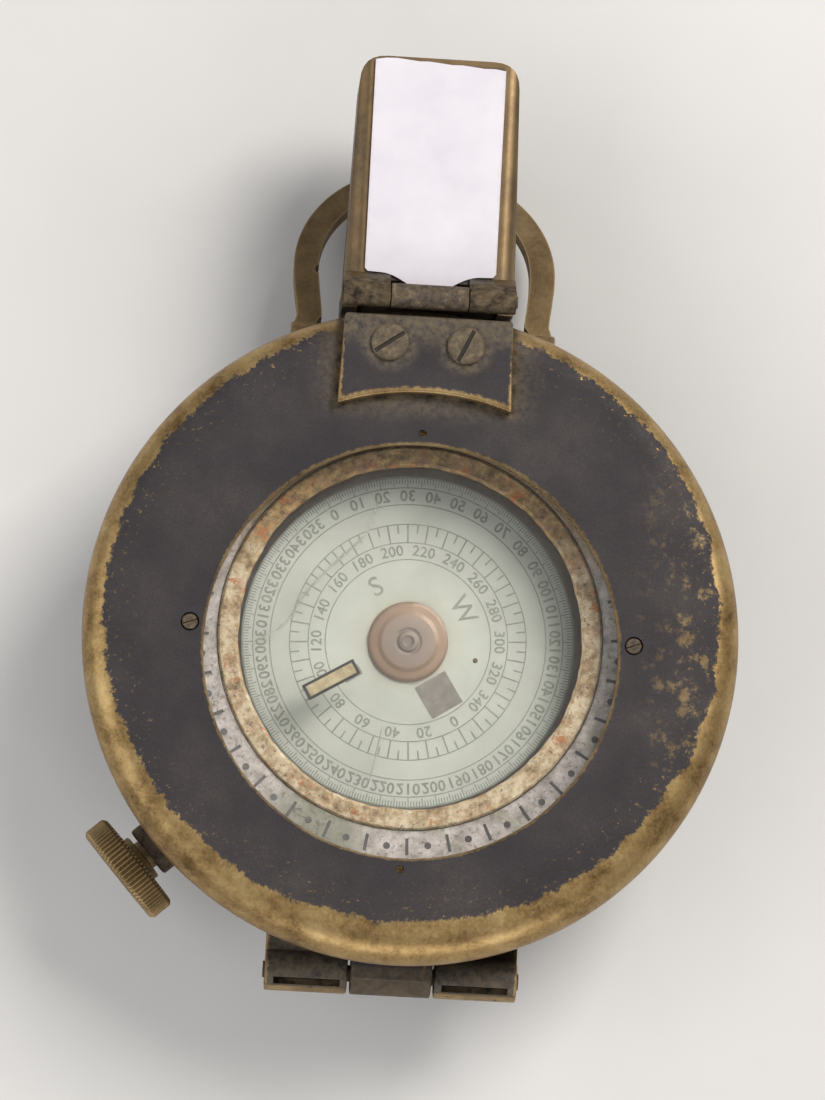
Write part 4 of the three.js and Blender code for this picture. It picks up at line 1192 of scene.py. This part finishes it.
def prism_housing():
    half, face, round_edge = 8.3, -2.1, 1.6
    section = [(-half, -9.6), (half, -9.6)]
    section += arc(half - round_edge, face - round_edge, round_edge, 0, 90, 8)
    section += arc(-half + round_edge, face - round_edge, round_edge, 90, 180, 8)
    body = plate("prism_housing_worn", section, -25, 0)
    moved(body, turned(90, "X"))
    combine(body, plate("plan", prism_plan(), -12, 0), "INTERSECT")
    soften(body, 0.28, 3, 50)
    evaluated(body)
    cut(body, block("hollow", (-6.5, 3.0, -12), (6.5, 22.6, -3.3)))
    drill(body, 3.9, (0, 17, -6), (0, 17, 0), 60)
    drill(body, 1.6, (0, -1, -7), (0, 4.5, -7), 40)
    cut(body, block("eye_slot", (-0.4, 0.6, -12), (0.4, 3.3, -7)))
    for side in (-1, 1):
        low, high = sorted((side * 3.8, side * 8.3))
        outline = fillet([(0.6, 0, 0), (0.6, -1.1, 0.2), (1.3, -2.1, 0.2), (1.8, -3.5, 0), (2.5, -3.5, 0),
                          (2.5, -2.1, 0.2), (1.4, -0.4, 0.3)], 0.1)
        web = plate("web", outline, low, high, 0.12)
        moved(web, Matrix(((0, 0, 1, 0), (1, 0, 0, 0), (0, 1, 0, 0), (0, 0, 0, 1))))
        add(body, rod("knuckle", 1.2, (low, 0, 0), (high, 0, 0), 0.2, 48))
        add(body, web)
        for x, y in ((7.3, 4.2), (6.9, 20.6)):
            drill(body, 0.55, (side * x, y, -12), (side * x, y, -7.5), 20)
    drill(body, PRISM_PIN_HOLE, (-10, 0, 0), (10, 0, 0), 28)
    return moved(body, PRISM_PLACE)


piece(prism_housing(), "prism", PRISM_PAINT, ["prism_housing"])


def paper_label():
    """A thin label with a rounded tab at its near edge, rubbed down on the housing."""
    half, start, end = 6.35, 2.5, 23.7
    tab, tab_end = 4.9, 0.8
    outline = [(-half, end - 0.35), (-half, start + 0.35), (-half + 0.3, start + 0.05)]
    for i in range(25):
        x = -tab + 2 * tab * i / 24
        drop = 0.5 + 0.5 * math.cos(math.pi * abs(x / tab) ** 0.9)
        outline.append((x, start - (start - tab_end) * min(1.0, drop * 1.12)))
    outline += [(half - 0.3, start + 0.05), (half, start + 0.4), (half, end - 0.8)]
    for i in range(1, 12):
        x = half - 2 * half * i / 12
        outline.append((x, end - 0.75 + 0.7 * i / 12 + 0.05 * math.sin(i * 2.1)))
    label = plate("paper_label_blank", outline, -1.96, -1.8, 0.04, 2)
    return moved(label, PRISM_PLACE)


piece(paper_label(), "prism", PAPER, ["paper_label"])


# ---- slide plate with the middle knuckle of the prism hinge ----

def prism_slider():
    slider = block("prism_slider_worn", (-6.7, 32, 8.9), (6.7, 33, 21.3), 0.15)
    add(slider, block("neck", (-3.5, 32.05, 20.9), (3.5, 32.95, 23.3), 0.1))
    add(slider, rod("barrel", 1.2, (-3.72, *PRISM_HINGE), (3.72, *PRISM_HINGE), 0.18, 48))
    drill(slider, PRISM_PIN_HOLE, (-10, *PRISM_HINGE), (10, *PRISM_HINGE), 28)
    return slider


# middle knuckle made dark: dirt and painted shade in the hinge trough
piece(prism_slider(), "slide", HINGE_GRIME_AND_SHADE, ["prism_slider"])


# ---- thumb ring: drawn flat about its hinge, then let down ----

def thumb_ring():
    outer, inner, centre = 13.0, 10.5, 8.7
    outside = [(12.95, 0), (12.75, 1.2), (12.45, 2.3), (12.5, 3.4), (12.75, 5.2), (12.95, 7.2)]
    inside = [(10.45, 0), (10.45, 1.6), (10.02, 2.3), (10.08, 3.4), (10.28, 5.2), (10.46, 7.2)]
    outline = outside + arc(0, centre, outer, 0, 180, 64) + [(-x, y) for x, y in outside[::-1]]
    outline += [(-x, y) for x, y in inside] + arc(0, centre, inner, 180, 0, 56) + inside[::-1]
    ring = plate("thumb_ring_worn", outline, -0.7, 0.7)
    drill(ring, 0.55, (-inner + 0.12, centre - 0.6, -2), (-inner + 0.12, centre - 0.6, 2))
    soften(ring, 0.5, 5, 60)
    evaluated(ring)
    for side in (-1, 1):
        add(ring, rod("eye", 1.5, (side * 10.4, 0, 0), (side * outer, 0, 0), 0.2, 40))
    drill(ring, THUMB_PIN_HOLE, (-15, 0, 0), (15, 0, 0), 28)
    return moved(ring, shift(0, *THUMB_HINGE) @ turned(-28, "X"))


piece(thumb_ring(), "thumb_ring", BROWN_BRASS, ["thumb_ring"])


# ---- clamp screw: drawn along Z, then turned to point outwards ----

def clamp_screw():
    outline = fillet([(0, 32.9, 0), (2.4, 32.9, 0.2), (2.4, 33.5, 0.1), (4.9, 33.5, 0.15), (5.3, 33.85, 0.2),
                      (5.3, 35.75, 0.2), (4.95, 36.1, 0.2), (3.4, 36.1, 0.2), (3.2, 35.95, 0.15), (0, 35.9, 0)], 0.1)
    head = lathe("clamp_screw_knurled", outline, 720, ripple=(72, 0.3, 5.05))
    stem = rod("stem", 1.5, (0, 0, 27.0), (0, 0, 33.2), 0.15, 48)
    add(head, stem)
    return moved(head, shift(0, 0, CLAMP_Z) @ turned(CLAMP_ANGLE) @ turned(90, "Y"))


piece(clamp_screw(), "clamp_screw", BROWN_BRASS, ["clamp_screw"])


# ---- case: bowl, hinge knuckles, thumb lugs and clamp boss ----

def case_bowl():
    outline = fillet([(0, 0, 0), (21.7, 0, 0.1), (21.7, 1.5, 0.1), (24.3, 1.5, 0.1), (24.3, 0, 0.1),
                      (25.5, 0, 0.2), (26.5, 1, 0.6), (26.5, 6.8, 0.5), (28.2, 8, 0.6), (29, 8.8, 0.6),
                      (29, 13.3, 0.15), (28.5, 13.8, 0.15), (24.9, 13.8, 0.15), (24.9, 8.6, 0.2), (21, 8.6, 0.2),
                      (21, 13.8, 0.15),
                      (20, 13.8, 0.15), (20, 2, 0.3), (0, 2, 0)], 0.1)
    bowl = lathe("case_bowl_worn", outline, 200)
    hinge_y, hinge_z = LID_HINGE
    for side in (-1, 1):
        low, high = sorted((side * 4.2, side * 12.15))
        add(bowl, block("arm", (low, hinge_y, 11.25), (high, -26, 13.68), 0.12))
        add(bowl, rod("knuckle", 2.0, (low, hinge_y, hinge_z), (high, hinge_y, hinge_z), 0.22, 56))
        low, high = sorted((side * 4.9, side * 11.3))
        cut(bowl, block("leaf_slot", (low, -33.65, 14.0), (high, -33.0, 16)))
        low, high = sorted((side * 8.9, side * 10.2))
        add(bowl, block("ear_block", (low, 26, 9.85), (high, THUMB_HINGE[0], 12.75), 0.1))
        add(bowl, rod("ear", 1.5, (low, *THUMB_HINGE), (high, *THUMB_HINGE), 0.15, 40))
        drill(bowl, THUMB_PIN_HOLE, (low - 1, *THUMB_HINGE), (high + 1, *THUMB_HINGE))
    drill(bowl, 2.5, (-4.2, *LID_HINGE), (4.2, *LID_HINGE), 48)
    drill(bowl, LID_PIN_HOLE, (-20, *LID_HINGE), (20, *LID_HINGE), 28)
    outward = turned(CLAMP_ANGLE).to_3x3() @ Vector((1, 0, 0))
    lift = Vector((0, 0, CLAMP_Z))
    add(bowl, rod("boss", 2.6, outward * 25.9 + lift, outward * 32.4 + lift, 0.3, 48))
    drill(bowl, 1.8, outward * 20.5 + lift, outward * 34 + lift, 40)
    for angle in KEEPER_ANGLES:
        along = turned(angle).to_3x3() @ Vector((1, 0, 0))
        height = Vector((0, 0, 11.3))
        drill(bowl, 0.85, along * 22 + height, along * 30 + height)
    return bowl


piece(case_bowl(), "case", CASE_PAINT, ["case_bowl"])


# ---- flaws of the liquid capsule's glass: two cracks and a speck ----

def thin_strip(bm, points, width, bottom, top):
    """A flat strip along a path, pointed at both ends."""
    count = len(points)
    sections = []
    for i, point in enumerate(points):
        ahead = Vector(points[min(i + 1, count - 1)]) - Vector(points[max(i - 1, 0)])
        across = Vector((-ahead.y, ahead.x)).normalized()
        half = width / 2 * max(0.15, math.sin(math.pi * (i + 0.3) / (count - 0.4)) ** 0.4)
        a, b = Vector(point) - across * half, Vector(point) + across * half
        sections.append([bm.verts.new((q.x * MM, q.y * MM, z * MM))
                         for q, z in ((a, bottom), (b, bottom), (b, top), (a, top))])
    for first, second in zip(sections, sections[1:]):
        for k in range(4):
            m = (k + 1) % 4
            bm.faces.new([first[k], first[m], second[m], second[k]])
    bm.faces.new(sections[0])
    bm.faces.new(sections[-1])


def smooth_path(points, steps=9):
    """A Catmull-Rom curve through the points."""
    ends = [Vector(points[0]) * 2 - Vector(points[1])] + [Vector(p) for p in points]
    ends.append(Vector(points[-1]) * 2 - Vector(points[-2]))
    path = []
    for i in range(1, len(ends) - 2):
        a, b, c, d = ends[i - 1:i + 3]
        for s in range(steps):
            t = s / steps
            path.append(0.5 * (2 * b + (c - a) * t + (2 * a - 5 * b + 4 * c - d) * t ** 2
                               + (3 * b - a - 3 * c + d) * t ** 3))
    path.append(ends[-2])
    return path


def glass_flaws():
    bm = bmesh.new()
    long_crack = [(-3.64, 14.03), (-4.4, 10.5), (-7.3, 7.35), (-10.3, 3.9), (-12.2, 0.9), (-15.3, -1.4)]
    thin_strip(bm, smooth_path(long_crack), 0.3, FLAW_BOTTOM, FLAW_TOP)
    short_crack = [(-2.16, -8.42), (-2.6, -11.0), (-3.17, -14.1)]
    thin_strip(bm, smooth_path(short_crack), 0.16, FLAW_BOTTOM, FLAW_TOP)
    return from_bmesh("glass_crack", bm)


piece(glass_flaws(), "case", FLAW)
speck_outline = fillet([(0, FLAW_BOTTOM, 0), (0.26, FLAW_BOTTOM, 0.05), (0.24, 15.95, 0.08), (0, 15.98, 0)], 0.05)
speck = lathe("glass_speck", speck_outline, 24)
piece(moved(speck, shift(6.5, -1.66, 0)), "case", SPECK)


# ---- materials for the CAD nodes whose shape stays ----

def keep(node, material, edge):
    """Gives a CAD node its material and softens its edges."""
    obj = bpy.data.objects[node]
    for material_slot in obj.material_slots:
        material_slot.material = material
    soften(obj, edge, 2, 40)


for node in ("lid_glass", "bezel_glass", "capsule_glass"):
    keep(node, CLEAR, 0.05)
for node in ("prism_glass", "prism_lens"):
    keep(node, LENS_GLASS, 0.05)
keep("base_rubber_ring", RUBBER, 0.1)
for node in ("card_magnet_left", "card_magnet_right", "pivot_needle"):
    keep(node, STEEL, 0.06)
for node in ("lid_hinge_pin", "prism_hinge_pin"):
    keep(node, HINGE_GRIME_AND_SHADE, 0.06)
for node in ("capsule_cup", "capsule_lock_ring", "capsule_gasket"):
    keep(node, ENAMEL, 0.08)
for node in ("pivot_post", "clamp_shoe"):
    keep(node, INNER_BRASS, 0.08)
for node in ("lid_glass_ring", "thumb_ring_pin_left", "thumb_ring_pin_right"):
    keep(node, WORN_BRASS, 0.1)
for node in ("bezel_keeper_screw_1", "bezel_keeper_screw_2", "bezel_keeper_screw_3", "prism_cover_screw_1",
             "prism_cover_screw_2", "prism_cover_screw_3", "prism_cover_screw_4"):
    keep(node, SCREW_BRASS, 0.05)
keep("prism_slide_guide", GUIDE_PAINT, 0.15)
keep("prism_cover", GUIDE_PAINT, 0.15)


# ---- floor, lights and camera ----

def floor():
    s = Shade("pale_floor")
    s.set("Base Color", s.ramp(s.noise(60, 4, 0.6), (0.3, (0.6, 0.59, 0.575)), (0.7, (0.66, 0.65, 0.635))))
    s.set("Roughness", s.ragged(0.6, 3, 3, 0.6, 0.15))
    bm = bmesh.new()
    bmesh.ops.create_grid(bm, x_segments=2, y_segments=2, size=1.2)
    plane = from_bmesh("floor", bm)
    plane.data.materials.append(s.material)
    plane.location.z = -FLOOR_GAP


def lamp(name, place, size, power, colour):
    light = bpy.data.lights.new(name, "AREA")
    light.shape = "RECTANGLE"
    light.size, light.size_y = size
    light.energy = power
    light.color = colour
    obj = bpy.data.objects.new(name, light)
    obj.location = Vector(place) * MM
    obj.rotation_euler = (Vector(LAMP_TARGET) - Vector(place)).to_track_quat("-Z", "Y").to_euler()
    bpy.context.scene.collection.objects.link(obj)


def world():
    sky = bpy.data.worlds.new("studio")
    sky.use_nodes = True
    background = sky.node_tree.nodes["Background"]
    background.inputs["Color"].default_value = (0.93, 0.93, 0.94, 1)
    background.inputs["Strength"].default_value = 0.3
    bpy.context.scene.world = sky
    bpy.context.scene.view_settings.view_transform = "Standard"


def camera():
    """Looks down from a little south and west of straight above."""
    toward = Vector(CAMERA_TOWARD).normalized()
    right = toward.cross(Vector((0, 0, 1))).normalized()
    up = right.cross(toward)
    roll = math.radians(CAMERA_ROLL)
    axis_x = right * math.cos(roll) + up * math.sin(roll)
    axis_y = up * math.cos(roll) - right * math.sin(roll)
    lens = bpy.data.cameras.new("camera")
    lens.lens = CAMERA_LENS
    lens.sensor_width = 36
    lens.clip_start = 0.01
    lens.clip_end = 20
    obj = bpy.data.objects.new("camera", lens)
    basis = Matrix((axis_x, axis_y, -toward)).transposed().to_4x4()
    obj.matrix_world = Matrix.Translation(Vector(CAMERA_PLACE) * MM) @ basis
    bpy.context.scene.collection.objects.link(obj)
    bpy.context.scene.camera = obj


floor()
world()
lamp("key", (230, 260, 420), (0.22, 0.22), 2.5, (1.0, 0.97, 0.93))
lamp("fill", (-380, -60, 330), (0.45, 0.45), 1.15, (0.97, 0.98, 1.0))
lamp("front", (60, -420, 260), (0.4, 0.25), 0.9, (1.0, 0.98, 0.95))
camera()
